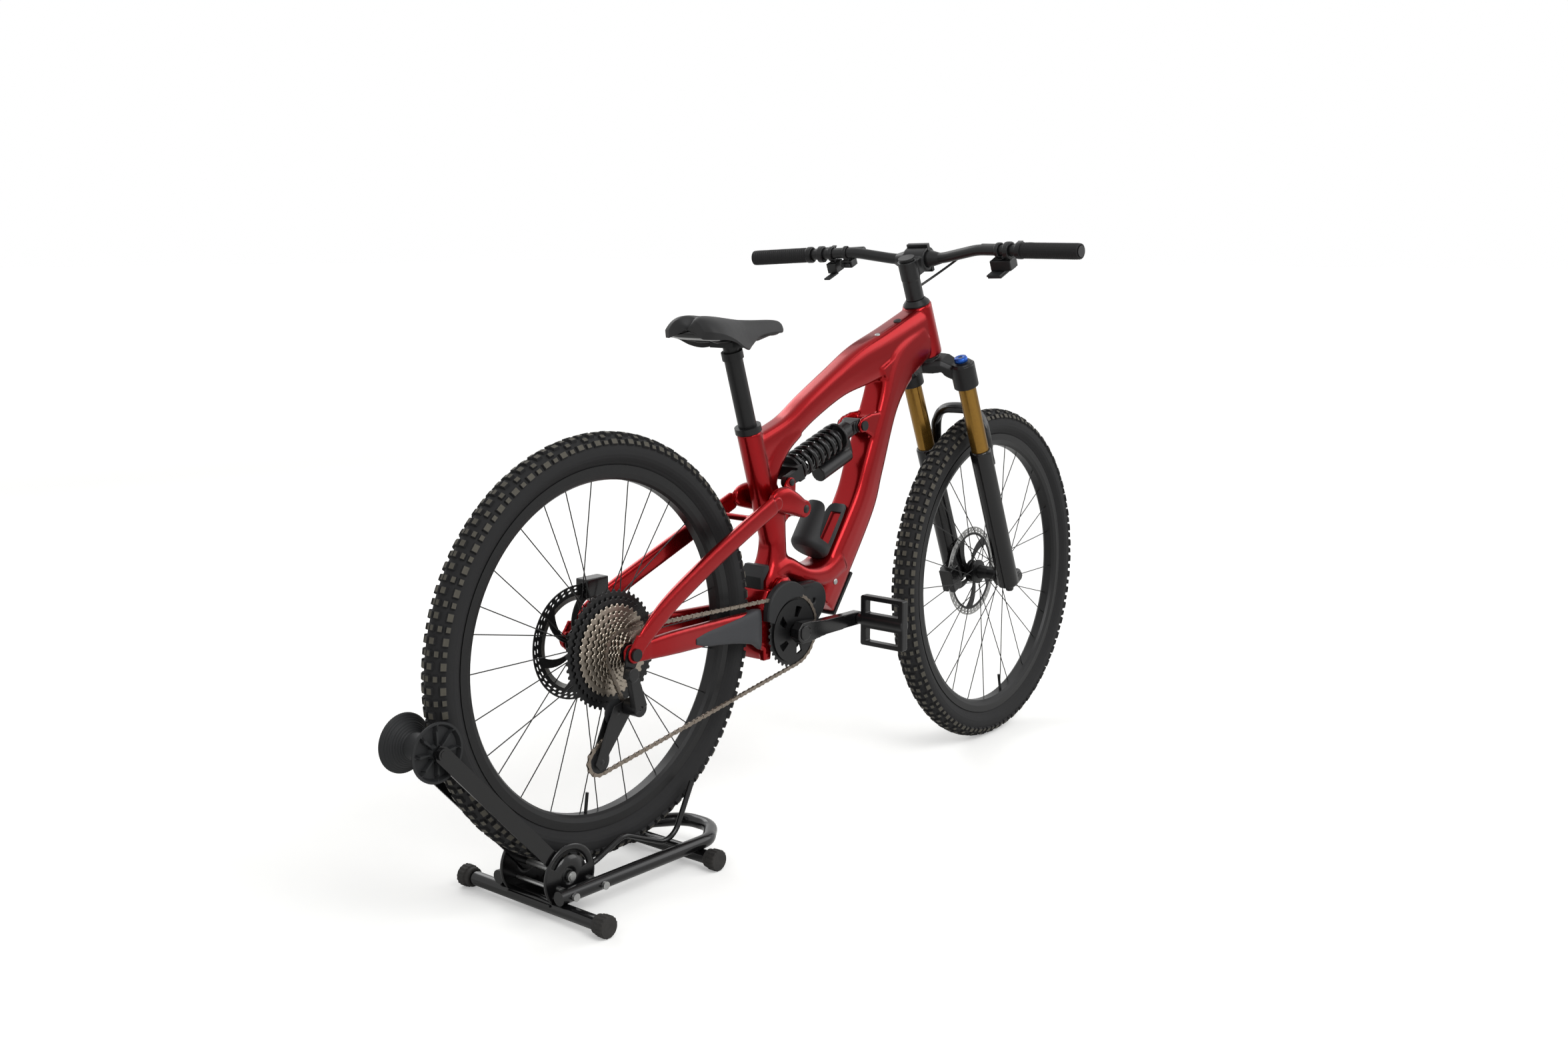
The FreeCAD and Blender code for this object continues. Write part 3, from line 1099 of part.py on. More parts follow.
def crank_arm(side):
    """An arm from the axle's eye to the pedal's eye, pointing forward on the right and back on the left."""
    way = -side
    eye_x = f"crank_ahead + {way} * crank_length"
    outline = [(f"crank_ahead - {way} * 20", "crank_height - 8"), (f"crank_ahead - {way} * 20", "crank_height + 8"),
               (f"crank_ahead - {way} * 8", "crank_height + 20"), (f"crank_ahead + {way} * 14", "crank_height + 20"),
               (f"crank_ahead + {way} * 60", "crank_height + 15"), (f"{eye_x} - {way} * 30", "crank_height + 13"),
               (f"{eye_x} + {way} * 8", "crank_height + 13"), (f"{eye_x} + {way} * 14", "crank_height + 6"),
               (f"{eye_x} + {way} * 14", "crank_height - 6"), (f"{eye_x} + {way} * 8", "crank_height - 13"),
               (f"{eye_x} - {way} * 30", "crank_height - 13"), (f"crank_ahead + {way} * 60", "crank_height - 15"),
               (f"crank_ahead + {way} * 14", "crank_height - 20"), (f"crank_ahead - {way} * 8", "crank_height - 20")]
    blade = moved(plate(f"crank_blade_{side + 1}", outline, 20), f"{side} * 77")
    pedal_bore = cylinder(f"pedal_bore_{side + 1}", "7 + running_gap", 60, (eye_x, f"{side} * 77 - 30", "crank_height"), "y")
    return cut(f"crank_arm_{side + 1}", blade, pedal_bore, crank_bore)


node("crank_right", crank_arm(-1), BIKE)
node("crank_left", fuse("crank_left", crank_arm(1), crank_pin, *crank_caps), BIKE)


def pedal(side, tilt):
    """An open cage platform on its spindle; the spindle turns in the crank's eye."""
    name = "right" if side < 0 else "left"
    span = "pedal_half_span"
    blank = box(f"pedal_blank_{name}", (f"2 * {span}", 102, "pedal_thickness"), (0, side * 149, 0))
    holes = [box(f"pedal_hole_{name}_{number}", (f"{span} - 24", 78, 40), (f"{way} * ({span} / 2 + 3)", side * 149, 0))
             for number, way in enumerate((-1, 1))]
    trims = [local(box(f"pedal_trim_{name}_{a}{b}", (40, 40, 40), (0, 0, 0)),
                   Placement(Vector(a * (value(span) + 13), side * 149 + b * 64, 0), Rotation(Vector(0, 0, 1), 45)))
             for a in (-1, 1) for b in (-1, 1)]
    body = cut(f"pedal_body_{name}", blank, *holes, *trims)
    barrel = cylinder(f"pedal_barrel_{name}", 12, 100, (0, side * 149 - 50, 0), "y")
    spindle = cylinder(f"pedal_spindle_{name}", 7, 71, (0, side * 103.5 - 35.5, 0), "y")
    flange = cylinder(f"pedal_flange_{name}", 11, 9, (0, side * 92.3 - 4.5, 0), "y")
    where = Vector(rear_x + value("crank_ahead") - side * value("crank_length"), 0, value("crank_height"))
    solid = fuse(f"pedal_{name}", body, barrel, spindle, flange)
    return node(f"pedal_{name}", solid, Placement(where, Rotation(Vector(0, 1, 0), tilt)))


pedal(-1, 90)
pedal(1, -18)

guide_plate = box("guide_plate", (56, 4.2, 36), (490, -48.2, 451))
guide_top = box("guide_top", (84, 10, 4), (474, -53.3, 467))
guide_foot = cylinder("guide_foot", 8, 2.1, (508, -46.1, 444), "y")
node("frame_covers", fuse("frame_covers", guide_plate, guide_top, guide_foot, battery_cover, mud_flap), BIKE)

knuckle = (-13, rear_axle_z - 31)
cage_pivot = (5, rear_axle_z - 94)
body_parts = [
    cylinder("b_knuckle", 12, 14, (knuckle[0], -98, knuckle[1]), "y"),
    cylinder("b_bolt", 5, 18.4, (knuckle[0], -98, knuckle[1]), "y"),
    cylinder("p_knuckle", 15, 31, (cage_pivot[0], -94, cage_pivot[1]), "y"),
    moved(plate("derailleur_link", [(knuckle[0] - 9, knuckle[1] + 4), (knuckle[0] + 9, knuckle[1] + 6),
                                    (cage_pivot[0] + 14, cage_pivot[1] + 4), (cage_pivot[0] - 13, cage_pivot[1] - 5)], 12), "-90"),
]
cage_bolt_room = cylinder("cage_bolt_room", "4 + running_gap", 60, (cage_pivot[0], -110, cage_pivot[1]), "y")
node("derailleur_body", cut("derailleur_body", fuse("derailleur_blank", *body_parts), cage_bolt_room), BIKE)


def cage_plate(name, across):
    points = [(cage_pivot[0] + 12, cage_pivot[1] + 6), (cage_pivot[0] + 2, cage_pivot[1] + 13), (upper_jockey[0] - 8, upper_jockey[1] + 13),
              (upper_jockey[0] - 15, upper_jockey[1]), (lower_jockey[0] - 15, lower_jockey[1] - 2),
              (lower_jockey[0] - 6, lower_jockey[1] - 14), (lower_jockey[0] + 8, lower_jockey[1] - 11),
              (lower_jockey[0] + 17, lower_jockey[1] + 10), (cage_pivot[0] + 12, cage_pivot[1] - 10)]
    if across > -chain_middle:
        points = points[2:8] + [(upper_jockey[0] + 14, upper_jockey[1] - 4), (upper_jockey[0] + 8, upper_jockey[1] + 12)]
    return moved(plate(name, points, 2.4), across)


outer_plate = cage_plate("outer_plate", -chain_middle - 6.8)
inner_plate = cage_plate("inner_plate", -chain_middle + 6.8)
cage_pin = cylinder("cage_pin", 4, 34, (cage_pivot[0], -94, cage_pivot[1]), "y")
jockey_pins = [cylinder(f"jockey_pin_{number}", 3, 18, (ahead, -chain_middle - 9, up), "y")
               for number, (ahead, up) in enumerate((upper_jockey, lower_jockey))]
node("derailleur_cage", fuse("derailleur_cage", outer_plate, inner_plate, cage_pin, *jockey_pins), BIKE)
for name, (ahead, up) in (("upper_jockey", upper_jockey), ("lower_jockey", lower_jockey)):
    disc = cylinder(name + "_disc", pitch_radius("jockey_teeth") + " - tooth_drop", "cog_thickness",
                    (ahead, f"-{chain_middle} - cog_thickness / 2", up), "y")
    core = cylinder(name + "_core", 12, 10, (ahead, -chain_middle - 5, up), "y")
    hole = cylinder(name + "_hole", "3 + running_gap", 40, (ahead, -chain_middle - 20, up), "y")
    node(name, cut(name, fuse(name + "_blank", disc, core), hole), BIKE)


# ---------------------------------------------------------------- seat post and saddle

collar_base = "post_collar_height"
node("seatpost", revolved("seatpost", [
    ("dropper_radius + running_gap", -140), ("post_radius", -140), ("post_radius", f"{collar_base} - 8"),
    ("post_radius + 3", f"{collar_base} - 8"), ("post_radius + 3", f"{collar_base} + 7"),
    ("dropper_radius + running_gap", f"{collar_base} + 7")]), SEAT)
collar = revolved("seat_clamp_ring", [
    ("post_radius + running_gap", 5.1), ("post_radius + 8", 5.1), ("post_radius + 8", 17), ("post_radius + running_gap", 17)])
node("frame_hardware", fuse("frame_hardware", local(collar, SEAT), headset_rings, shock_bolt))

rail_height = 941


def rail(side):
    path = [(456, side * 6, 949), (436, side * 10, 947), (392, side * 22, rail_height), (284, side * 22, rail_height),
            (240, side * 34, 951), (228, side * 36, 957)]
    return pipe(path, 3.5, 30)


rails = feature("rails_pair", rail(-1).fuse(rail(1)))
stanchion_head = "post_collar_height + dropper_shown"
tube = doc.addObject("Part::Cylinder", "dropper_tube")
bind(tube, "Radius", "dropper_radius")
bind(tube, "Height", f"{stanchion_head} + 60")
tube.Placement = SEAT_IN_BIKE.multiply(Placement(Vector(0, 0, -60), Rotation()))
head_x = 340
cradle = box("lower_cradle", (46, 56, 13), (head_x, 0, rail_height - 7.2))
bolt_room = [cylinder(f"cradle_bolt_room_{way}", "3 + running_gap", 60, (head_x + 19 * way, 0, rail_height - 40)) for way in (-1, 1)]
node("dropper_post", cut("dropper_post", fuse("dropper_blank", tube, cradle), rails, *bolt_room), BIKE)
clamp_plate = box("upper_cradle", (46, 56, 7), (head_x, 0, rail_height + 3.6))
clamp_bolts = [cylinder(f"cradle_bolt_{way}", 3, 20, (head_x + 19 * way, 0, rail_height - 13)) for way in (-1, 1)]
saddle_clamp = cut("saddle_clamp", fuse("clamp_blank", clamp_plate, *clamp_bolts), rails)
saddle_shell = feature("saddle_shell", loft([
    (222, 0, 969, 0, 24, 96, 10), (250, 0, 969, 0, 32, 136, 14), (300, 0, 968, 0, 32, 142, 14), (350, 0, 966, 0, 28, 104, 12),
    (400, 0, 962, 0, 26, 60, 11), (440, 0, 959, 0, 24, 46, 10), (480, 0, 956, 0, 18, 34, 8)]))
node("saddle", cut("saddle", saddle_shell, rails), BIKE)
node("saddle_rails", fuse("saddle_rails", feature("rail_pair", rails.Shape.copy()), saddle_clamp), BIKE)


# ---------------------------------------------------------------- front brake and hoses

front_slot = cylinder("front_rotor_slot", "rotor_radius + 2", "rotor_thickness + 2.4",
                      ("fork_rake", "front_rotor_offset - rotor_thickness / 2 - 1.2", 0), "y")
leg_room = cylinder("leg_room", "lower_leg_radius + 0.1", 200, ("leg_forward", "leg_spacing", -60))
caliper_blank = fuse("front_caliper_blank", box("front_caliper_box", (34, 32, 54), (-42, 42, 32)),
                     box("front_caliper_mount", (42, 14, 42), (-16, 62, 32)))
node("front_caliper", cut("front_caliper", caliper_blank, front_slot, leg_room), STEER)

hose_radius = 2.6
master_start = half - value("grip_length") - 40 - 78


def hose(name, side, end_across, end_height, out, drop):
    """A hose from the inner end of a control, round in front of the stem, to the cable cover."""
    start = near_bar(side, master_start, 27, -8) + Vector(0, -side * 0.1, 0)
    end = Vector(21.9, end_across, end_height)
    points = [start, start + Vector(4, -side * 34, -4), Vector(out, side * 34, end_height + drop), end]
    return pipe([tuple(point) for point in points], hose_radius, 60)


cover_middle = value("head_top + 24")
hoses = [hose("hose_right", -1, -5, cover_middle + 8, 86, 12), hose("hose_left", 1, 5, cover_middle - 6, 78, 4)]
node("brake_hoses", feature("brake_hoses", Part.makeCompound(hoses)), STEER)


# ---------------------------------------------------------------- stand

tube = "stand_tube_radius"
rail_z = 45
cross_z = value("foot_radius")
cross_tubes = [
    cylinder("rear_cross", tube, "2 * rear_foot_half", ("rear_foot_ahead", "-rear_foot_half", cross_z), "y"),
    cylinder("front_cross", tube, "2 * front_foot_half", ("front_foot_ahead", "-front_foot_half", cross_z), "y")]

bolt_places = (-151, -83)
bolt_rooms = [cylinder(f"bolt_room_{number}", "4 + running_gap", 240, (ahead, -120, rail_z), "y")
              for number, ahead in enumerate(bolt_places)]
rail_half = value("rail_half")
u_points = [(-175, -rail_half, rail_z), (190, -rail_half, rail_z), (247, -32, rail_z), (247, 32, rail_z),
            (190, rail_half, rail_z), (-175, rail_half, rail_z)]
u_tube = feature("u_tube_solid", pipe(u_points, value(tube), 50))
stand_rails = cut("stand_rails", u_tube, *bolt_rooms)

feet = []
for place, half_width in (("rear_foot_ahead", "rear_foot_half"), ("front_foot_ahead", "front_foot_half")):
    for side in (-1, 1):
        name = f"foot_{place[:4]}_{side + 1}"
        start = f"{side} * ({half_width} - foot_length / 2 + 3) - foot_length / 2"
        sleeve = cylinder(name, "foot_radius", "foot_length", (place, start, cross_z), "y")
        inner = cylinder(name + "_in", f"{tube} + running_gap", "2 * " + half_width, (place, f"-{half_width}", cross_z), "y")
        feet.append(cut(name + "_sleeve", sleeve, inner))
        centre = f"{side} * ({half_width} - foot_length / 2 + 3)"
        feet.append(box(name + "_flat", (12, "foot_length", 3), (place, centre, 1.5)))
node("stand_feet", fuse("stand_feet", *feet), BIKE)


def ear(side):
    outline = [(-176, 24), (-76, 24), (-76, 62), (-96, 92), (-118, 96), (-150, 145), (-170, 145), (-176, 138)]
    circles = [("arm_pivot_ahead", "arm_pivot_height", "6 + running_gap")]
    circles += [(ahead, rail_z, "4 + running_gap") for ahead in bolt_places]
    return moved(plate(f"ear_{side + 1}", outline, 4, circles), f"{side} * 55")


base_plate = box("bracket_base", (100, 114, 4), (-126, 0, 26))
node("stand_bracket", cut("stand_bracket", fuse("bracket_blank", *both(ear), base_plate),
                          cylinder("bracket_cross_room", f"{tube} + clear_gap", 300, ("rear_foot_ahead", -150, cross_z), "y")), BIKE)

fasteners = []
for number, ahead in enumerate(bolt_places):
    fasteners.append(cylinder(f"stand_bolt_{number}", 4, 188, (ahead, -94, rail_z), "y"))
    fasteners += both(lambda side: cylinder(f"stand_nut_{number}_{side + 1}", 7, 6, (ahead, side * 92 - 3, rail_z), "y"))
    fasteners += both(lambda side: cut(
        f"stand_spacer_{number}_{side + 1}",
        cylinder(f"spacer_out_{number}_{side + 1}", 8, 8.4, (ahead, side * 61.3 - 4.2, rail_z), "y"),
        cylinder(f"spacer_room_{number}_{side + 1}", f"{tube} + running_gap", 60, (ahead - 30, side * rail_half, rail_z), "x")))
fasteners.append(cylinder("arm_pivot_bolt", 6, 128, ("arm_pivot_ahead", -64, "arm_pivot_height"), "y"))
fasteners += both(lambda side: cylinder(f"arm_pivot_nut_{side + 1}", 9, 5, ("arm_pivot_ahead", side * 59.7 - 2.5, "arm_pivot_height"), "y"))
node("stand_fasteners", fuse("stand_fasteners", *fasteners), BIKE)

hoop_bars = []
for side in (-1, 1):
    path = [(-92, side * 47.8, 64), (-55, side * 42, 70), (12, side * 40, 96), (132, side * 40, 45), (186, side * 40, 149)]
    hoop_bars.append(feature(f"hoop_side_{side + 1}", pipe(path, 5, 40)))
hoop_cross = cylinder("hoop_cross", 5, 2 * rail_half - 2 * value(tube) - 0.4, (132, 0.2 + value(tube) - rail_half, rail_z), "y")
node("stand_tubes", fuse("stand_tubes", *cross_tubes, stand_rails, *hoop_bars, hoop_cross), BIKE)

roller_gap = 0.5
roller_reach = value("tyre_radius + roller_core") + roller_gap
roller_bearing = math.radians(value("roller_angle"))
roller_x = roller_reach * math.cos(roller_bearing)
roller_z = rear_axle_z + roller_reach * math.sin(roller_bearing)


def arm_plate(side):
    pivot = Vector(value("arm_pivot_ahead"), 0, value("arm_pivot_height"))
    end = Vector(roller_x, 0, roller_z)
    run = (end - pivot).normalize()
    across = Vector(-run.z, 0, run.x)
    corners = [pivot - run * 14 + across * 8, pivot - run * 14 - across * 8, pivot - across * 14, end - across * 14,
               end + run * 12 - across * 8, end + run * 12 + across * 8, end + across * 14, pivot + across * 14]
    return moved(plate(f"arm_plate_{side + 1}", [(corner.x, corner.z) for corner in corners], "arm_thickness"),
                 f"{side} * arm_offset")


arm_axle = cylinder("arm_axle", 6, 116, (roller_x, -58, roller_z), "y")
arm_nuts = both(lambda side: cylinder(f"arm_nut_{side + 1}", 10, 5, (roller_x, side * 54.8 - 2.5, roller_z), "y"))
arm_bore = cylinder("arm_bore", "6 + running_gap", 160, ("arm_pivot_ahead", -80, "arm_pivot_height"), "y")
node("stand_arm", cut("stand_arm", fuse("stand_arm_blank", *both(arm_plate), arm_axle, *arm_nuts), arm_bore), BIKE)
roller = revolved("stand_roller", [
    ("6 + running_gap", "-roller_half"), ("roller_flange", "-roller_half"), ("roller_flange", "3 - roller_half"),
    ("roller_core", -16), ("roller_core", 16), ("roller_flange", "roller_half - 3"), ("roller_flange", "roller_half"),
    ("6 + running_gap", "roller_half")])
node("stand_roller", roller, Placement(Vector(rear_x + roller_x, 0, roller_z), WHEEL_TURN))


# ---------------------------------------------------------------- checking and writing

doc.recompute()
for item in doc.Objects:
    if any(word in state for state in item.State for word in ("Invalid", "Error")):
        raise ValueError(f"{item.Name} is {item.State}")
os.makedirs("parts", exist_ok=True)
for item in nodes:
    if item.Shape.isNull() or not item.Shape.isValid():
        raise ValueError(f"{item.Label} has no valid shape")
    item.Shape.exportStep(f"parts/{item.Label}.step")
print(len(nodes), "sub-parts written")
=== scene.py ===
# %% [markdown]
# # An electric mountain bicycle on its display stand
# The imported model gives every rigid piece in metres, with +X forward, +Y to the left and +Z up.
# This lesson keeps the pieces whose shape is already right and gives them real finishes.
# Pieces with fine shape, such as tyres, chain and frame, are worked out again as numpy surfaces.

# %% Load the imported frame
import json
import math

import bpy
import numpy as np
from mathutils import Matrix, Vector

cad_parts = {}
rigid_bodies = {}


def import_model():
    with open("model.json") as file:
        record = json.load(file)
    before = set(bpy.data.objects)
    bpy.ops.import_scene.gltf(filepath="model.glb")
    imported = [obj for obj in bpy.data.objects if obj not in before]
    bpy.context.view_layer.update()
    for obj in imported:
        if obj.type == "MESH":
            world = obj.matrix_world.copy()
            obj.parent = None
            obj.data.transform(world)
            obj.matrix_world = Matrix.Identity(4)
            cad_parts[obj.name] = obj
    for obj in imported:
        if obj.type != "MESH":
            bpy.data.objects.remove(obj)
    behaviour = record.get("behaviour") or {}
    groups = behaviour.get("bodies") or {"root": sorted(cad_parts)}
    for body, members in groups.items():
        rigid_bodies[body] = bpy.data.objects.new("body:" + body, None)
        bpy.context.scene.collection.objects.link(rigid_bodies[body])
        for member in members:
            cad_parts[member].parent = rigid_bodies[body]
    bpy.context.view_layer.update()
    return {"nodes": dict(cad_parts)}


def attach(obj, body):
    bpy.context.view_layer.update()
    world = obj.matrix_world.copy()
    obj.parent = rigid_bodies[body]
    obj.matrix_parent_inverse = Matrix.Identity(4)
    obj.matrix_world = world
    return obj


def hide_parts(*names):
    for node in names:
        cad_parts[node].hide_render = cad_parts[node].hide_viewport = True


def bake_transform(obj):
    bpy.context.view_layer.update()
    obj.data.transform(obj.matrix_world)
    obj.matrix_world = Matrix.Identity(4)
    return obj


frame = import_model()
print("pieces in the frame:", len(frame["nodes"]))

# %% [markdown]
# ## Hard points
# A bicycle is laid out from a few points: two axles, the crank, the suspension pivots and the steering axis.
# They are the same points as in the construction model, so every new surface lands where the old solid was.

# %% Hard points, in millimetres from the rear axle's foot
MM = 0.001
REAR_X = 30 - 608
WHEELBASE = 1216
TYRE_RADIUS = 373
REAR_AXLE_Z = 429
FRONT_X = REAR_X + WHEELBASE
HEAD_LEAN = math.radians(90 - 68.2)
STEER_TURN = math.radians(3.6)
FORK_RAKE = 44
SEAT_LEAN = math.radians(17)
SEAT_TOP = (393.5, 763)
CRANK = (455, 384)
MOTOR = (520, 425)


def bike(points):
    """Points given from the rear axle's foot, moved into the model's frame in metres."""
    return (np.asarray(points, float) + [REAR_X, 0, 0]) * MM


def frame_axes(up, turn=0.0):
    """Forward, left and up directions of an axis that lies in the bicycle's middle plane."""
    up = np.array([up[0], 0, up[1]])
    forward = np.array([up[2], 0, -up[0]])
    left = np.array([0, 1.0, 0])
    turned = math.cos(turn) * forward + math.sin(turn) * left
    return np.array([turned, np.cross(up, turned), up])


def placed(points, origin, axes):
    """Local points carried to an origin along three directions, in metres."""
    return (np.asarray(points, float) @ axes + origin) * MM


def full_turn(count):
    """Angles in equal steps round a whole circle."""
    return np.linspace(0, 2 * math.pi, count, endpoint=False)


ACROSS_AXES = np.array([[1.0, 0, 0], [0, 0, -1.0], [0, 1.0, 0]])
HEAD_AXES = frame_axes((-math.sin(HEAD_LEAN), math.cos(HEAD_LEAN)))
STEER_AXES = frame_axes((-math.sin(HEAD_LEAN), math.cos(HEAD_LEAN)), STEER_TURN)
HEAD_ORIGIN = np.array([FRONT_X, 0, TYRE_RADIUS]) - FORK_RAKE * HEAD_AXES[0]
SEAT_AXES = frame_axes((-math.sin(SEAT_LEAN), math.cos(SEAT_LEAN)))
SEAT_ORIGIN = np.array([REAR_X + SEAT_TOP[0], 0, SEAT_TOP[1]])
WHEEL_AXES = {"rear": ACROSS_AXES, "front": np.array([STEER_AXES[0], -STEER_AXES[2], STEER_AXES[1]])}
WHEEL_ORIGIN = {
    "rear": np.array([REAR_X, 0, REAR_AXLE_Z]),
    "front": HEAD_ORIGIN + FORK_RAKE * STEER_AXES[0],
}
print("steering axis leans back", round(math.degrees(HEAD_LEAN), 1), "degrees")

# %% [markdown]
# ## Mesh helpers
# A surface is a grid of points from two parameters. `skin` turns such a grid into faces, closing it round
# either way and fanning its open ends to a middle point, so that every piece is a closed shell.

# %% Grids to meshes
def skin(grid, wrap_u=False, wrap_v=True, cap=True):
    """Quads between neighbouring points of a (rows, columns, 3) grid; open rows get a fan to their middle."""
    rows, columns = grid.shape[:2]
    points = grid.reshape(-1, 3)
    row = np.arange(rows if wrap_u else rows - 1)
    column = np.arange(columns if wrap_v else columns - 1)
    r, c = np.meshgrid(row, column, indexing="ij")
    after_r, after_c = (r + 1) % rows, (c + 1) % columns
    corners = (r * columns + c, r * columns + after_c, after_r * columns + after_c, after_r * columns + c)
    faces = np.stack([corner.ravel() for corner in corners], axis=1).tolist()
    if cap and not wrap_u and wrap_v:
        ends = np.array([grid[0].mean(axis=0), grid[-1].mean(axis=0)])
        first, last = len(points), len(points) + 1
        points = np.vstack([points, ends])
        low = np.arange(columns)
        next_low = (low + 1) % columns
        high, next_high = low + (rows - 1) * columns, next_low + (rows - 1) * columns
        faces += np.stack([next_low, low, np.full(columns, first)], axis=1).tolist()
        faces += np.stack([high, next_high, np.full(columns, last)], axis=1).tolist()
    return points, faces


def together(shells):
    """Several shells as one list of points and one of faces."""
    points, faces, start = [], [], 0
    for shell_points, shell_faces in shells:
        points.append(shell_points)
        faces += [[index + start for index in face] for face in shell_faces]
        start += len(shell_points)
    return np.vstack(points), faces


def piece(name, shells, material, body, stands_for=(), smooth=True, outward=True):
    """One Blender object from shells in metres, riding on a body."""
    points, faces = together(shells)
    mesh = bpy.data.meshes.new(name)
    mesh.from_pydata(points.tolist(), [], faces)
    mesh.validate()
    mesh.update()
    made = bpy.data.objects.new(name, mesh)
    bpy.context.scene.collection.objects.link(made)
    mesh.polygons.foreach_set("use_smooth", np.full(len(mesh.polygons), smooth))
    mesh.materials.append(material)
    if outward:
        point_outward(made)
    if body:
        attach(made, body)
    if stands_for:
        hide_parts(*stands_for)
    return made


def point_outward(made):
    """Turn every closed shell's faces outwards."""
    import bmesh
    work = bmesh.new()
    work.from_mesh(made.data)
    bmesh.ops.recalc_face_normals(work, faces=work.faces)
    work.to_mesh(made.data)
    work.free()


def modified(made, kind, **settings):
    """Add a modifier and give it its settings."""
    extra = made.modifiers.new(kind.lower(), kind)
    for key, number in settings.items():
        setattr(extra, key, number)
    return extra


def applied(made):
    """Bake an object's modifiers into its mesh."""
    ready = made.evaluated_get(bpy.context.evaluated_depsgraph_get())
    mesh = bpy.data.meshes.new_from_object(ready)
    made.modifiers.clear()
    made.data = mesh
    return made


def polar(radius, turn, height):
    """Points at a radius and an angle round the Z axis and at a height, each a number or a grid of numbers."""
    return np.stack(np.broadcast_arrays(radius * np.cos(turn), radius * np.sin(turn), height), axis=-1)


def turned_profile(profile, steps=48):
    """A closed (radius, height) outline swept round the Z axis."""
    radius, height = np.asarray(profile, float).T
    return polar(radius, full_turn(steps)[:, None], height)


def closed_ring(grid, origin, axes):
    """A grid that closes both ways, such as a turned outline, as one shell round an axis."""
    return skin(placed(grid, origin, axes), wrap_u=True)


def catmull(values, steps):
    """A smooth curve through rows of numbers: each span's cubic takes its slopes from its neighbours."""
    values = np.asarray(values, float)
    padded_rows = np.vstack([2 * values[0] - values[1], values, 2 * values[-1] - values[-2]])
    place = np.linspace(0, len(values) - 1, steps)
    span = np.minimum(place.astype(int), len(values) - 2)
    part = (place - span)[:, None]
    a, b, c, d = (padded_rows[span + shift] for shift in range(4))
    square, cube = 2 * a - 5 * b + 4 * c - d, 3 * b - a - 3 * c + d
    return 0.5 * (2 * b + (c - a) * part + square * part ** 2 + cube * part ** 3)


def superellipse(columns, power):
    """Points round a rounded box: a circle whose cosine and sine are raised to a power below one."""
    angle = full_turn(columns)
    across, up = np.cos(angle), np.sin(angle)
    return np.sign(across) * np.abs(across) ** power, np.sign(up) * np.abs(up) ** power


def lofted(sections, steps=60, columns=48, power=0.62):
    """A tube through sections of (x, y, z, tilt, depth, width): rounded boxes across a smooth centre line."""
    rows = catmull(sections, steps)
    x, y, z, tilt, depth, width = rows.T
    tilt = np.radians(tilt)
    side, up = superellipse(columns, power)
    centre = np.stack([x, y, z], axis=1)[:, None]
    upward = np.stack([-np.sin(tilt), np.zeros(steps), np.cos(tilt)], axis=1)[:, None]
    sideways = np.array([0, 1.0, 0])
    grid = centre + upward * (up[None, :, None] * depth[:, None, None] / 2)
    grid = grid + sideways * (side[None, :, None] * width[:, None, None] / 2)
    return skin(bike(grid))


def barrel(start, end, radius, columns=40, round_end=1.5):
    """A solid rod between two points with slightly rounded rims."""
    start, end = np.asarray(start, float), np.asarray(end, float)
    run = end - start
    length = np.linalg.norm(run)
    along = run / length
    side = np.cross(along, [0.3, 0.2, 1.0])
    side /= np.linalg.norm(side)
    other = np.cross(along, side)
    angle = full_turn(columns)
    circle = np.cos(angle)[:, None] * side + np.sin(angle)[:, None] * other
    profile = [(radius - round_end, 0), (radius, round_end), (radius, length - round_end),
               (radius - round_end, length)]
    grid = np.array([start + along * height + circle * reach for reach, height in profile])
    return skin(bike(grid))


def cross_pin(place, start, end, radius, round_end=1.5):
    """A rod that lies across the bicycle at (ahead, up), between two distances from its middle."""
    ahead, up = place
    return barrel((ahead, start, up), (ahead, end, up), radius, round_end=round_end)


# %% [markdown]
# ## Finishes
# Every finish starts from a real process: candy paint over metal, anodising, moulded rubber, glossy moulding.
# Noise on Object coordinates breaks up colour, roughness and height at sizes given in millimetres.

# %% One function adds a node, one turns hex colours to linear light
def linear(code):
    """An sRGB hex colour as linear red, green, blue and alpha."""
    parts = [int(code[start:start + 2], 16) / 255 for start in (0, 2, 4)]
    return (*[part / 12.92 if part <= 0.04045 else ((part + 0.055) / 1.055) ** 2.4 for part in parts], 1.0)


def add(tree, kind, settings=None, links=None):
    """Add one shader node, set its inputs or properties by name, and link its inputs."""
    made = tree.nodes.new(kind)
    for key, number in (settings or {}).items():
        if isinstance(key, int) or key in made.inputs:
            made.inputs[key].default_value = number
        else:
            setattr(made, key, number)
    for key, source in (links or {}).items():
        tree.links.new(source, made.inputs[key])
    return made


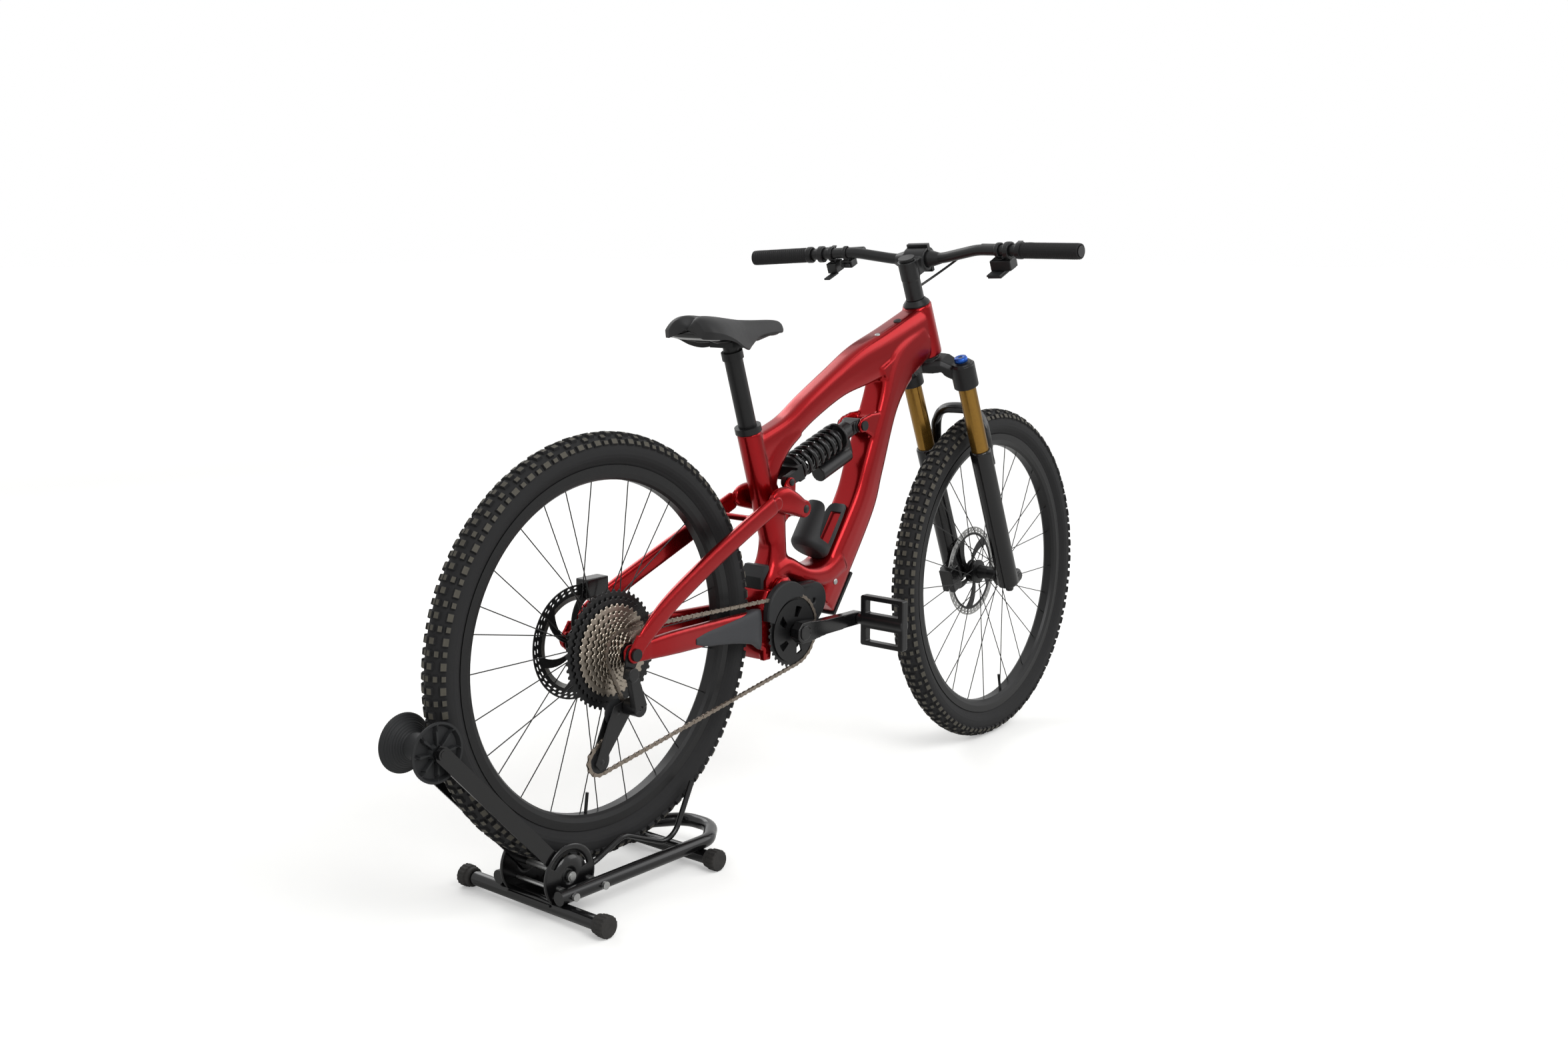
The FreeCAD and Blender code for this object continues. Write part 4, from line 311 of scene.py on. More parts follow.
def finish(name, dark, light, grain_mm, rough=(0.3, 0.45), bump_mm=0.05, metallic=0.0, coat=0.0, gloss=0.5,
           fine_mm=None):
    """A finish from two colours mixed by noise of a real grain size, with matching roughness and height."""
    material = bpy.data.materials.new(name)
    material.use_nodes = True
    tree = material.node_tree
    tree.nodes.clear()
    place = add(tree, "ShaderNodeTexCoord")
    noise = add(tree, "ShaderNodeTexNoise", {"Scale": 1 / (grain_mm * MM), "Detail": 6.0, "Roughness": 0.6},
                {"Vector": place.outputs["Object"]})
    colour = add(tree, "ShaderNodeMix", {"data_type": "RGBA", 6: linear(dark), 7: linear(light)},
                 {0: noise.outputs["Fac"]})
    roughness = add(tree, "ShaderNodeMapRange", {"To Min": rough[0], "To Max": rough[1]},
                    {"Value": noise.outputs["Fac"]})
    fine = add(tree, "ShaderNodeTexNoise", {"Scale": 1 / ((fine_mm or grain_mm / 4) * MM), "Detail": 3.0},
               {"Vector": place.outputs["Object"]})
    bump = add(tree, "ShaderNodeBump", {"Strength": 0.6, "Distance": bump_mm * MM},
               {"Height": fine.outputs["Fac"]})
    shader = add(tree, "ShaderNodeBsdfPrincipled", {"Metallic": metallic, "Specular IOR Level": gloss,
                                                     "Coat Weight": coat, "Coat Roughness": 0.04},
                 {"Base Color": colour.outputs[2], "Roughness": roughness.outputs[0],
                  "Normal": bump.outputs[0]})
    out = add(tree, "ShaderNodeOutputMaterial")
    tree.links.new(shader.outputs[0], out.inputs[0])
    return material


# Candy lacquer: transparent red over a bright base, so it shines red like metal under a clear coat.
candy_red = finish("candy_red_lacquer", "80030A", "A0070F", 1.6, (0.2, 0.27), 0.005, metallic=0.8, coat=0.12,
                   fine_mm=0.6)
# Carbon-black rubber is dull; the tops of the knobs are polished grey by the ground.
tyre_rubber = finish("moulded_tyre_rubber", "141415", "1F1F20", 9, (0.68, 0.86), 0.2, gloss=0.3, fine_mm=1.5)
worn_tread = finish("worn_tread_rubber", "38362F", "565249", 5, (0.62, 0.8), 0.25, gloss=0.35, fine_mm=1.2)
grip_rubber = finish("soft_grip_rubber", "101011", "1B1B1C", 4, (0.6, 0.78), 0.1, gloss=0.3)
# Black anodising and paint over alloy: dark, with soft highlights.
black_anodised = finish("black_anodised_aluminium", "0D0D0E", "161617", 3, (0.32, 0.44), 0.01, metallic=0.2,
                        gloss=0.35)
satin_black = finish("satin_black_paint", "0E0E0F", "161617", 6, (0.3, 0.42), 0.02, gloss=0.35)
gloss_black = finish("gloss_black_lacquer", "09090A", "101011", 6, (0.14, 0.22), 0.005, gloss=0.4)
bronze_coat = finish("bronze_slide_coating", "7C5A26", "93702F", 5, (0.18, 0.24), 0.002, metallic=0.8,
                     gloss=0.5)
brushed_steel = finish("brushed_stainless_steel", "8C8C8C", "B4B4B2", 1.5, (0.26, 0.4), 0.01, metallic=1.0)
nickel_cogs = finish("nickel_plated_cog_steel", "857B70", "A79F93", 2, (0.26, 0.4), 0.01, metallic=1.0)
nickel_chain = finish("dull_nickel_chain_steel", "6B6259", "958B80", 3, (0.3, 0.45), 0.02, metallic=0.9)
black_moulding = finish("textured_black_nylon", "121314", "1D1E20", 5, (0.5, 0.66), 0.06, gloss=0.35,
                        fine_mm=0.8)
grey_guard = finish("grey_rubber_guard", "2A2B2D", "35363A", 6, (0.55, 0.7), 0.06, gloss=0.35, fine_mm=1.0)
saddle_cover = finish("matte_saddle_microfibre", "111112", "1A1A1B", 6, (0.5, 0.62), 0.08, gloss=0.4,
                      fine_mm=0.9)
zinc_plate = finish("zinc_plated_steel", "8F9094", "B9B9B4", 4, (0.3, 0.42), 0.01, metallic=0.95)
blue_anodised = finish("blue_anodised_aluminium", "123E8C", "2160C4", 3, (0.28, 0.36), 0.01, metallic=0.6)
scuffed_rubber = finish("scuffed_foot_rubber", "161616", "3A3836", 14, (0.6, 0.85), 0.15, gloss=0.3)
print("finishes:", len(bpy.data.materials))

# %% [markdown]
# ## Finishes for the pieces that stay
# These construction pieces already have their true shape, so only their finish changes.

# %% Give each carried-over piece its finish
KEPT = {
    black_anodised: ["rear_rim", "front_rim", "rear_hub", "front_hub", "crank_right", "crank_left",
                     "fork_crown", "seatpost", "dropper_post", "shock_shaft", "rear_axle", "saddle_rails",
                     "frame_hardware", "derailleur_cage", "left_controls", "right_controls",
                     "left_brake_lever", "right_brake_lever"],
    satin_black: ["handlebar", "stem", "stem_faceplate", "rear_caliper", "front_caliper", "derailleur_body",
                  "pedal_right", "pedal_left", "shock_body"],
    gloss_black: ["shock_spring", "fork_lowers", "stand_tubes", "stand_bracket", "stand_arm"],
    bronze_coat: ["fork_stanchions"],
    zinc_plate: ["stand_fasteners"],
    black_moulding: ["drive_unit", "frame_covers", "bottle_cage", "upper_jockey", "lower_jockey",
                     "shift_paddle_up", "shift_paddle_down", "dropper_lever", "mode_buttons", "stand_roller"],
    scuffed_rubber: ["stand_feet"],
    candy_red: ["rocker", "swingarm", "seatstays", "front_frame"],
    nickel_chain: ["cassette", "chain", "chainring"],
    tyre_rubber: ["rear_tyre", "front_tyre"],
    grip_rubber: ["grips", "brake_hoses"],
    saddle_cover: ["saddle"],
}
for material, names in KEPT.items():
    for name in names:
        node = frame["nodes"][name]
        for place in node.material_slots:
            place.material = material
print("kept pieces given a finish:", sum(len(names) for names in KEPT.values()))

# %% [markdown]
# ## Camera, light and floor
# The camera stands behind the rear wheel on the drive side, at saddle height, and looks forward along the
# bicycle. Soft light comes from large area lamps, as in a studio with diffusers, over a plain pale floor. The
# Light Path node lets the world be white for the camera and mirrors, and softer as a light for matte faces.

# %% Camera
CAMERA_PLACE = Vector((-2.5250, -2.0578, 1.1260))
CAMERA_YAW, CAMERA_PITCH = math.radians(40.13), math.radians(-9.66)
lens = bpy.data.cameras.new("camera")
lens.lens = 38.49
lens.sensor_width = 36
lens.clip_start = 0.05
camera = bpy.data.objects.new("camera", lens)
bpy.context.scene.collection.objects.link(camera)
looking = Vector((math.cos(CAMERA_PITCH) * math.cos(CAMERA_YAW),
                  math.cos(CAMERA_PITCH) * math.sin(CAMERA_YAW),
                  math.sin(CAMERA_PITCH)))
camera.rotation_mode = "QUATERNION"
camera.rotation_quaternion = looking.to_track_quat("-Z", "Y")
camera.location = CAMERA_PLACE
bpy.context.scene.camera = camera
bpy.context.scene.view_settings.view_transform = "Standard"
print("lens length in mm:", lens.lens)

# %% World and lamps
world = bpy.data.worlds.new("studio")
bpy.context.scene.world = world
world.use_nodes = True
sky = world.node_tree
sky.nodes.clear()
path = add(sky, "ShaderNodeLightPath")
seen = add(sky, "ShaderNodeMath", {"operation": "MAXIMUM"},
           {0: path.outputs["Is Camera Ray"], 1: path.outputs["Is Glossy Ray"]})
clear = add(sky, "ShaderNodeMath", {"operation": "MAXIMUM"},
            {0: seen.outputs[0], 1: path.outputs["Is Transmission Ray"]})
soft_light = add(sky, "ShaderNodeBackground", {"Color": (1, 1, 1, 1), "Strength": 0.55})
white_wall = add(sky, "ShaderNodeBackground", {"Color": (1, 1, 1, 1), "Strength": 1.0})
both = add(sky, "ShaderNodeMixShader", None,
           {0: clear.outputs[0], 1: soft_light.outputs[0], 2: white_wall.outputs[0]})
add(sky, "ShaderNodeOutputWorld", None, {"Surface": both.outputs[0]})


def lamp(name, place, size, power):
    """A square soft box that looks at the middle of the bicycle."""
    light = bpy.data.lights.new(name, "AREA")
    light.shape, light.size, light.energy = "SQUARE", size, power
    made = bpy.data.objects.new(name, light)
    bpy.context.scene.collection.objects.link(made)
    made.location = place
    made.rotation_mode = "QUATERNION"
    made.rotation_quaternion = (Vector((0, 0, 0.55)) - Vector(place)).to_track_quat("-Z", "Y")
    return made


lamp("key_softbox", (-1.2, -3.2, 3.4), 2.4, 95)
lamp("fill_softbox", (3.0, -2.2, 2.4), 2.6, 40)
lamp("rim_softbox", (0.8, 3.4, 3.0), 2.2, 45)

# %% Floor
floor_finish = finish("pale_matte_floor", "E9E9E7", "EFEFED", 60, (0.8, 0.9), 0.05, gloss=0.2)
tree = floor_finish.node_tree
floor_path = add(tree, "ShaderNodeLightPath")
floor_glow = add(tree, "ShaderNodeEmission", {"Color": (1, 1, 1, 1)})
floor_place = add(tree, "ShaderNodeTexCoord")
reach = add(tree, "ShaderNodeVectorMath", {"operation": "LENGTH"}, {0: floor_place.outputs["Object"]})
paler = add(tree, "ShaderNodeMapRange", {"From Min": 1.5, "From Max": 9.0, "To Min": 0.3, "To Max": 0.62},
            {"Value": reach.outputs["Value"]})
lift = add(tree, "ShaderNodeMath", {"operation": "MULTIPLY"},
           {0: floor_path.outputs["Is Camera Ray"], 1: paler.outputs[0]})
tree.links.new(lift.outputs[0], floor_glow.inputs["Strength"])
shader = next(node for node in tree.nodes if node.type == "BSDF_PRINCIPLED")
pale = add(tree, "ShaderNodeAddShader", None, {0: shader.outputs[0], 1: floor_glow.outputs[0]})
out = next(node for node in tree.nodes if node.type == "OUTPUT_MATERIAL")
tree.links.new(pale.outputs[0], out.inputs[0])
floor_points = np.array([[-60, -60, 0], [60, -60, 0], [60, 60, 0], [-60, 60, 0]], float)
floor_mesh = bpy.data.meshes.new("floor")
floor_mesh.from_pydata(floor_points.tolist(), [], [[0, 1, 2, 3]])
floor_mesh.materials.append(floor_finish)
floor = bpy.data.objects.new("floor", floor_mesh)
bpy.context.scene.collection.objects.link(floor)
print("lamps and floor ready")

# %% [markdown]
# ## Brake hoses
# A hydraulic hose is a stiff nylon tube of about 5 mm. Two of them leave the brake cylinders, bow forward
# round the stem and go into the cable cover on the frame's head. Each is a smooth NURBS line with a round
# section.

# %% Hose routes and their curves
BAR_HALF, BAR_KNEE, BAR_REACH, BAR_HEIGHT = 397, 150, 44, 763.3
BAR_RISE, BAR_SWEEP = 25, 40
GRIP_LENGTH = 135
HOSE_RADIUS = 2.6
MASTER_START = BAR_HALF - GRIP_LENGTH - 40 - 78


def bar_centre(across):
    """The bar beyond its knee: it rises and sweeps back in proportion to the distance from the knee."""
    share = (abs(across) - BAR_KNEE) / (BAR_HALF - BAR_KNEE)
    return np.array([BAR_REACH - BAR_SWEEP * (0.25 + 0.75 * share), across,
                     BAR_HEIGHT + BAR_RISE - 4 + 4 * share])


def hose_route(side, end_across, end_height, out, drop):
    """Start beside the stem-side end of the brake cylinder, bow forward, end at the cable cover."""
    start = bar_centre(side * MASTER_START) + [27, -side * 0.1, -8]
    return np.array([start, start + [4, -side * 34, -4], [out, side * 34, end_height + drop],
                     [21.9, end_across, end_height]])


def tube_curve(name, points, radius, material):
    """A NURBS line of order 3 through metre points, with a round section."""
    curve = bpy.data.curves.new(name, "CURVE")
    curve.dimensions = "3D"
    line = curve.splines.new("NURBS")
    line.points.add(len(points) - 1)
    for place, point in zip(line.points, points):
        place.co = (*point, 1)
    line.order_u = 3
    line.use_endpoint_u = True
    line.resolution_u = 24
    curve.bevel_depth = radius
    curve.bevel_resolution = 6
    curve.use_fill_caps = True
    curve.materials.append(material)
    made = bpy.data.objects.new(name, curve)
    bpy.context.scene.collection.objects.link(made)
    return made


def curve_length(made):
    """Length of a curve's own line, from its points as Blender evaluates them without a section."""
    line = made.copy()
    line.data = made.data.copy()
    line.data.bevel_depth = 0
    bpy.context.scene.collection.objects.link(line)
    bpy.context.view_layer.update()
    mesh = bpy.data.meshes.new_from_object(line.evaluated_get(bpy.context.evaluated_depsgraph_get()))
    points = np.zeros(len(mesh.vertices) * 3)
    mesh.vertices.foreach_get("co", points)
    points = points.reshape(-1, 3)
    bpy.data.objects.remove(line)
    return float(np.linalg.norm(np.diff(points, axis=0), axis=1).sum())


COVER_MIDDLE = 705
for hose_name, route in (("brake_hose_right", hose_route(-1, -5, COVER_MIDDLE + 8, 86, 12)),
                         ("brake_hose_left", hose_route(1, 5, COVER_MIDDLE - 6, 78, 4))):
    hose = tube_curve(hose_name, placed(route, HEAD_ORIGIN, STEER_AXES), HOSE_RADIUS * MM, gloss_black)
    hose_length = curve_length(hose)
    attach(hose, "steering")
    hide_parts("brake_hoses")
    print(hose_name, "is", round(hose_length, 3), "m long")

# %% [markdown]
# ## Tyres
# A mountain bike tyre is a rubber carcass with moulded knobs: ramped blocks down the middle, smaller ones
# between, and square shoulder knobs for cornering. The carcass is a ring profile; each knob is a tapered
# block on it, and the four faces of a block's top get the worn finish.

# %% Tyre carcass and knobs
TYRE_MIDDLE, CARCASS, KNOB_TOP = 342, 26.2, 31
KNOB_ROWS = 58
KNOB_LONGER, KNOB_WIDER, WORN_FACES = 1.16, 1.12, 4
KNOBS = (
    # angle from the crown, half length, half width, stagger along the tread, top height
    (-14, 5.0, 4.6, 0.0, KNOB_TOP), (14, 5.0, 4.6, 0.0, KNOB_TOP),
    (-6, 4.4, 3.2, 0.5, KNOB_TOP - 0.2), (9, 4.4, 3.2, 0.5, KNOB_TOP - 0.2),
    (-34, 4.6, 3.6, 0.5, KNOB_TOP - 0.5), (34, 4.6, 3.6, 0.5, KNOB_TOP - 0.5),
    (-58, 6.2, 4.8, 0.0, KNOB_TOP), (58, 6.2, 4.8, 0.0, KNOB_TOP),
    (-60, 4.4, 3.6, 0.5, KNOB_TOP - 0.6), (60, 4.4, 3.6, 0.5, KNOB_TOP - 0.6),
)


def carcass_profile():
    """Round section from one bead over the crown to the other, with two fine sidewall ribs, closed inside."""
    angle = np.radians(np.linspace(-138, 138, 70))
    down = np.abs(np.degrees(angle))
    rib = 0.5 * (np.abs(down - 104) < 2.2) + 0.4 * (np.abs(down - 116) < 2.2)
    outer = np.stack([TYRE_MIDDLE + (CARCASS + rib) * np.cos(angle), (CARCASS + rib) * np.sin(angle)], axis=1)
    inner = np.array([[309.5, 12.0], [309.5, 9.0], [320, 9.0], [320, -9.0], [309.5, -9.0], [309.5, -12.0]])
    return np.vstack([outer, inner])


def knob_blocks(angle, half_length, half_width, stagger, top):
    """All blocks of one row: rings of four corners that get smaller, out from the section's middle."""
    lean = math.radians(angle)
    turn = (np.arange(KNOB_ROWS) + stagger) * 2 * math.pi / KNOB_ROWS
    corners = np.array([(-1, -1), (1, -1), (1, 1), (-1, 1)], float)
    layers = np.array([[CARCASS - 1.4, 1.1], [top - 0.4, 0.94], [top, 0.84]])
    along = corners[None, :, 0] * half_length * KNOB_LONGER * layers[:, 1:2]
    across = corners[None, :, 1] * half_width * KNOB_WIDER * layers[:, 1:2]
    height = np.repeat(layers[:, :1], 4, axis=1)
    radial = TYRE_MIDDLE + height * math.cos(lean) - across * math.sin(lean)
    sideways = height * math.sin(lean) + across * math.cos(lean)
    cos, sin = np.cos(turn)[:, None, None], np.sin(turn)[:, None, None]
    return np.stack([radial * cos - along * sin, radial * sin + along * cos, sideways + 0 * cos], axis=3)


for wheel in ("rear", "front"):
    origin, axes = WHEEL_ORIGIN[wheel], WHEEL_AXES[wheel]
    carcass = closed_ring(turned_profile(carcass_profile(), 150), origin, axes)
    piece(f"{wheel}_tyre_carcass", [carcass], tyre_rubber, f"{wheel}_wheel", [f"{wheel}_tyre"])
    blocks = [skin(placed(block, origin, axes)) for row in KNOBS for block in knob_blocks(*row)]
    knobs = piece(f"{wheel}_tyre_knobs", blocks, tyre_rubber, f"{wheel}_wheel", smooth=False)
    knobs.data.materials.append(worn_tread)
    per_block = len(blocks[0][1])
    worn = np.arange(len(knobs.data.polygons)) % per_block >= per_block - WORN_FACES
    knobs.data.polygons.foreach_set("material_index", worn.astype(np.int32))
    print(wheel, "tyre has", len(blocks), "knobs")

# %% [markdown]
# ## Brake discs
# A disc is cut from thin sheet steel by a laser or a punch, with slots that clear water and shed heat. The
# band is a ring-shaped grid from which the slot cells are left out; Solidify gives the sheet its thickness.

# %% Discs from masked rings
def cell_faces(row, column, columns):
    """The four corners of each chosen cell of a grid whose columns close round."""
    low, high, after = row * columns, (row + 1) * columns, (column + 1) % columns
    return np.stack([low + column, high + column, high + after, low + after], axis=1)


def masked_ring(radii, columns, twist, keep, height):
    """A ring grid whose rows turn by twist degrees per millimetre of radius; keep() says which cells stay."""
    radii = np.asarray(radii, float)
    turn = full_turn(columns)[None] + np.radians(twist * (radii - radii[0]))[:, None]
    grid = polar(radii[:, None], turn, height)
    row, column = np.meshgrid(np.arange(len(radii) - 1), np.arange(columns), indexing="ij")
    chosen = keep(row, column)
    faces = cell_faces(row[chosen], column[chosen], columns)
    used, index = np.unique(faces, return_inverse=True)
    return grid.reshape(-1, 3)[used], index.reshape(faces.shape).tolist()


def sheet_ring(name, ring, hub, material, body, thickness, stands_for=()):
    """A masked ring round a hub's origin and axes, given the thickness of its sheet."""
    points, faces = ring
    made = piece(name, [(placed(points, *hub), faces)], material, body, stands_for, smooth=False,
                 outward=False)
    modified(made, "SOLIDIFY", thickness=thickness * MM, offset=0)


def disc_band(row, column):
    """Slots in two staggered rows: three cells open, three closed."""
    outer_slot = (row == 3) & (column % 6 < 3)
    inner_slot = (row == 1) & ((column + 3) % 6 < 3)
    return ~(outer_slot | inner_slot)


def spider_arms(count, columns):
    """A closed centre ring, then arms a quarter as wide as their spacing, then a closed rim."""
    step = columns // count
    return lambda row, column: (row < 2) | (column % step < step // 4) | (row > 9)


BAND_THICK, SPIDER_THICK, FIN_THICK = 1.8, 2.4, 1.4
BAND_RADII = (86.5, 89.2, 92.2, 95.2, 98.2, 101.5)
SPIDER_RADII = (15.1, 20, 26, 32, 38, 45, 52, 60, 68, 76, 83, 88)
FIN_RADII = (75, 78, 82, 86.8)
REAR_DISC, FRONT_DISC = 57, 42
DISCS = (  # wheel, distance from the wheel's middle, arms, finish of the band
    ("rear", REAR_DISC, 6, black_anodised), ("front", FRONT_DISC, 5, brushed_steel))
for wheel, across, arms, band_finish in DISCS:
    hub, body = (WHEEL_ORIGIN[wheel], WHEEL_AXES[wheel]), f"{wheel}_wheel"
    sheet_ring(f"{wheel}_disc_band", masked_ring(BAND_RADII, 240, 0.6, disc_band, across), hub, band_finish,
               body, BAND_THICK, [f"{wheel}_rotor"])
    cells = arms * 32
    spider = masked_ring(SPIDER_RADII, cells, 0.55, spider_arms(arms, cells), across)
    sheet_ring(f"{wheel}_disc_spider", spider, hub, black_anodised, body, SPIDER_THICK)
rear_hub = (WHEEL_ORIGIN["rear"], WHEEL_AXES["rear"])
fins = masked_ring(FIN_RADII, 160, 0, lambda row, column: row >= 0, REAR_DISC)
sheet_ring("rear_disc_fins", fins, rear_hub, brushed_steel, "rear_wheel", FIN_THICK)
print("discs made")

# %% [markdown]
# ## Cassette and chainring
# Sprockets are stamped and machined plates with a tooth for every half inch of chain. Each is a ring whose
# outer edge is a wave: a narrow crest over a wide valley, once per tooth.

# %% Toothed rings
COG_TEETH = (10, 12, 14, 16, 18, 21, 24, 28, 33, 39, 45, 51)
CHAIN_PITCH, COG_SPACING, COG_THICK, SMALL_COG = 12.7, 3.7, 1.6, -70
CARRIER_RADIUS, LOCKRING_RADIUS = 17.2, 10.4


def pitch_radius(teeth):
    """Radius of the circle that the chain's pins follow: half the pitch over the sine of half a step."""
    return CHAIN_PITCH / 2 / math.sin(math.pi / teeth)


def toothed_ring(teeth, inner, low, high, per_tooth=10):
    """A closed ring whose outer radius rises from the valley to the crest once per tooth."""
    turn = full_turn(teeth * per_tooth)
    wave = np.cos(turn * teeth)
    outer = pitch_radius(teeth) - 2.6 + 4.6 * np.clip(0.5 + 0.95 * wave, 0, 1)
    tip = (low + high) / 2
    foot = np.full_like(turn, inner)
    radius = np.stack([foot, outer - 1.2, outer, outer - 1.2, foot], axis=1)
    height = np.array([low, low, tip, high, high])
    return polar(radius, turn[:, None], height)


cogs = {"cassette_small_cogs": [], "cassette_large_cogs": []}
for index, teeth in enumerate(COG_TEETH):
    low = SMALL_COG + index * COG_SPACING
    inner = max(pitch_radius(COG_TEETH[index - 1]) - 8, CARRIER_RADIUS) if index else LOCKRING_RADIUS
    which = "cassette_large_cogs" if index >= len(COG_TEETH) - 2 else "cassette_small_cogs"
    cogs[which].append(closed_ring(toothed_ring(teeth, inner, low, low + COG_THICK), *rear_hub))
inner_face = SMALL_COG + 42
spacer = [(CARRIER_RADIUS, SMALL_COG), (19.2, SMALL_COG), (19.2, inner_face), (CARRIER_RADIUS, inner_face)]
cogs["cassette_small_cogs"].append(closed_ring(turned_profile(spacer, 40), *rear_hub))
piece("cassette_small_cogs", cogs["cassette_small_cogs"], nickel_cogs, "rear_wheel", ["cassette"],
      smooth=False)
piece("cassette_large_cogs", cogs["cassette_large_cogs"], black_anodised, "rear_wheel", smooth=False)

CHAIN_COG = 4  # the chain runs on the fifth cog
CHAIN_LINE = -SMALL_COG - CHAIN_COG * COG_SPACING - COG_THICK / 2
RING_TEETH = 34
crank_hub = (np.array([REAR_X + CRANK[0], -CHAIN_LINE, CRANK[1]]), ACROSS_AXES)
ring_grid = toothed_ring(RING_TEETH, 57, -COG_THICK / 2, COG_THICK / 2)
piece("chainring_teeth", [closed_ring(ring_grid, *crank_hub)], black_anodised, "cranks", ["chainring"],
      smooth=False)
RING_RADII, RING_INSET, RING_ARM_THICK = (14, 22, 27, 34, 41, 48, 54, 60), -2.2, 4.6
ring_arms = masked_ring(RING_RADII, 120, 0.3, lambda row, column: (row < 2) | (row > 4) | (column % 24 < 17),
                        RING_INSET)
sheet_ring("chainring_spider", ring_arms, crank_hub, black_anodised, "cranks", RING_ARM_THICK)
print("cassette teeth:", sum(COG_TEETH))

# %% [markdown]
# ## Chain
# A bicycle chain alternates inner and outer links on a half-inch pitch. Its line is tangent runs joined by
# arcs round four wheels: ring, cog, upper jockey (turned the other way) and lower jockey. Links are set along
# that line. The ring stays on the frame and the cog swings with the rear wheel; the chain itself is one fixed
# mesh on no body, so it follows neither.

# %% Chain line and links
JOCKEY_TEETH = 12
CHAIN_WHEELS = (  # ahead, up, radius, sense of turning
    (*CRANK, pitch_radius(RING_TEETH), 1), (0, REAR_AXLE_Z, pitch_radius(COG_TEETH[CHAIN_COG]), 1),
    (-19, REAR_AXLE_Z - 102, pitch_radius(JOCKEY_TEETH), -1),
    (-57, REAR_AXLE_Z - 180, pitch_radius(JOCKEY_TEETH), 1))


def chain_path():
    """Dense points on the loop: each wheel's arc from where the chain arrives to where it leaves."""
    runs = []
    for index, (ahead, up, radius, sense) in enumerate(CHAIN_WHEELS):
        far_ahead, far_up, far_radius, far_sense = CHAIN_WHEELS[(index + 1) % len(CHAIN_WHEELS)]
        here, there = sense * radius, far_sense * far_radius
        distance = math.hypot(far_ahead - ahead, far_up - up)
        bearing = math.atan2(far_up - up, far_ahead - ahead) - math.asin((there - here) / distance)
        left = np.array([-math.sin(bearing), math.cos(bearing)])
        runs.append((np.array([ahead, up]) - here * left, np.array([far_ahead, far_up]) - there * left))
    points = []
    for index, (ahead, up, radius, sense) in enumerate(CHAIN_WHEELS):
        arrive, leave = runs[index - 1][1], runs[index][0]
        first = math.atan2(arrive[1] - up, arrive[0] - ahead)
        sweep = sense * ((sense * (math.atan2(leave[1] - up, leave[0] - ahead) - first)) % (2 * math.pi))
        turn = first + np.linspace(0, sweep, 60)
        points.append(np.stack([ahead + radius * np.cos(turn), up + radius * np.sin(turn)], axis=1))
        points.append(np.linspace(*runs[index], 40)[1:-1])
    return np.vstack(points)


loop = chain_path()
closed_loop = np.vstack([loop, loop[:1]])
travel = np.concatenate([[0], np.cumsum(np.linalg.norm(np.diff(closed_loop, axis=0), axis=1))])
link_count = 2 * round(travel[-1] / CHAIN_PITCH / 2)
pin_travel = np.linspace(0, travel[-1], link_count + 1)
pins = np.stack([np.interp(pin_travel, travel, closed_loop[:, axis]) for axis in (0, 1)], axis=1)
PLATE = np.array([(-9.6, 0), (-8.6, 2.7), (-6.3, 3.8), (-3.6, 3.3), (0, 2.5), (3.6, 3.3), (6.3, 3.8),
                  (8.6, 2.7), (9.6, 0), (8.6, -2.7), (6.3, -3.8), (3.6, -3.3), (0, -2.5), (-3.6, -3.3),
                  (-6.3, -3.8), (-8.6, -2.7)])
LINK_ROLLER, ROLLER_END = 3.8, 1.15


def link_shells(start, end, outer):
    """Two plates and a roller between two pins; outer links stand further apart than inner ones."""
    middle, run = (start + end) / 2, (end - start) / np.linalg.norm(end - start)
    side = np.array([-run[1], run[0]])
    flat = middle + PLATE[:, :1] * run + PLATE[:, 1:] * side
    around = full_turn(8)
    circle = start + LINK_ROLLER * np.stack([np.cos(around), np.sin(around)], axis=1)
    near, far = (1.75, 2.5) if outer else (ROLLER_END, 1.75)
    layers = [(flat, -near, -far), (flat, near, far), (circle, -ROLLER_END, ROLLER_END)]
    return [skin(bike(np.array([np.insert(outline, 1, y - CHAIN_LINE, axis=1) for y in sides])))
            for outline, *sides in layers]


links = []
for index in range(link_count):
    links += link_shells(pins[index], pins[index + 1], index % 2)
chain = piece("chain_links", links, nickel_chain, None, ["chain"], smooth=False)
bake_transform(chain)
print("chain links:", link_count, "of", round(travel[-1] / link_count, 2), "mm")

# %% [markdown]
# ## Front frame
# The frame is hydroformed and welded aluminium under candy lacquer: deep tubes whose sides meet in a soft
# ridge. Each tube is lofted through sections, then a voxel remesh melts them into one skin as filler and
# welds do.

# %% Ridged lofts and flat plates
def ridged(sections, steps=70, columns=56, ridge=0.13, crest=0.3, power=0.34):
    """A loft of rounded boxes whose sides peak at a crest, so that the flank breaks into two soft planes."""
    points, faces = lofted(sections, steps, columns, power)
    rows = catmull(sections, steps)
    centre = bike(rows[:, :3])
    tilt = np.radians(rows[:, 3])
    upward = np.stack([-np.sin(tilt), np.zeros(steps), np.cos(tilt)], axis=1)
    grid = points[:-2].reshape(steps, columns, 3)
    lift = ((grid - centre[:, None]) * upward[:, None]).sum(axis=2) / (rows[:, 4:5] * MM / 2)
    grid[..., 1] *= 1 - ridge * np.abs(lift - crest)
    points[:-2] = grid.reshape(-1, 3)
    return points, faces


def plate_shell(outline, across, thickness):
    """A flat plate: an outline of (ahead, up) points with a thickness across."""
    outline = np.asarray(outline, float)
    sides = (across - thickness / 2, across + thickness / 2)
    return skin(bike(np.array([np.insert(outline, 1, y, axis=1) for y in sides])))


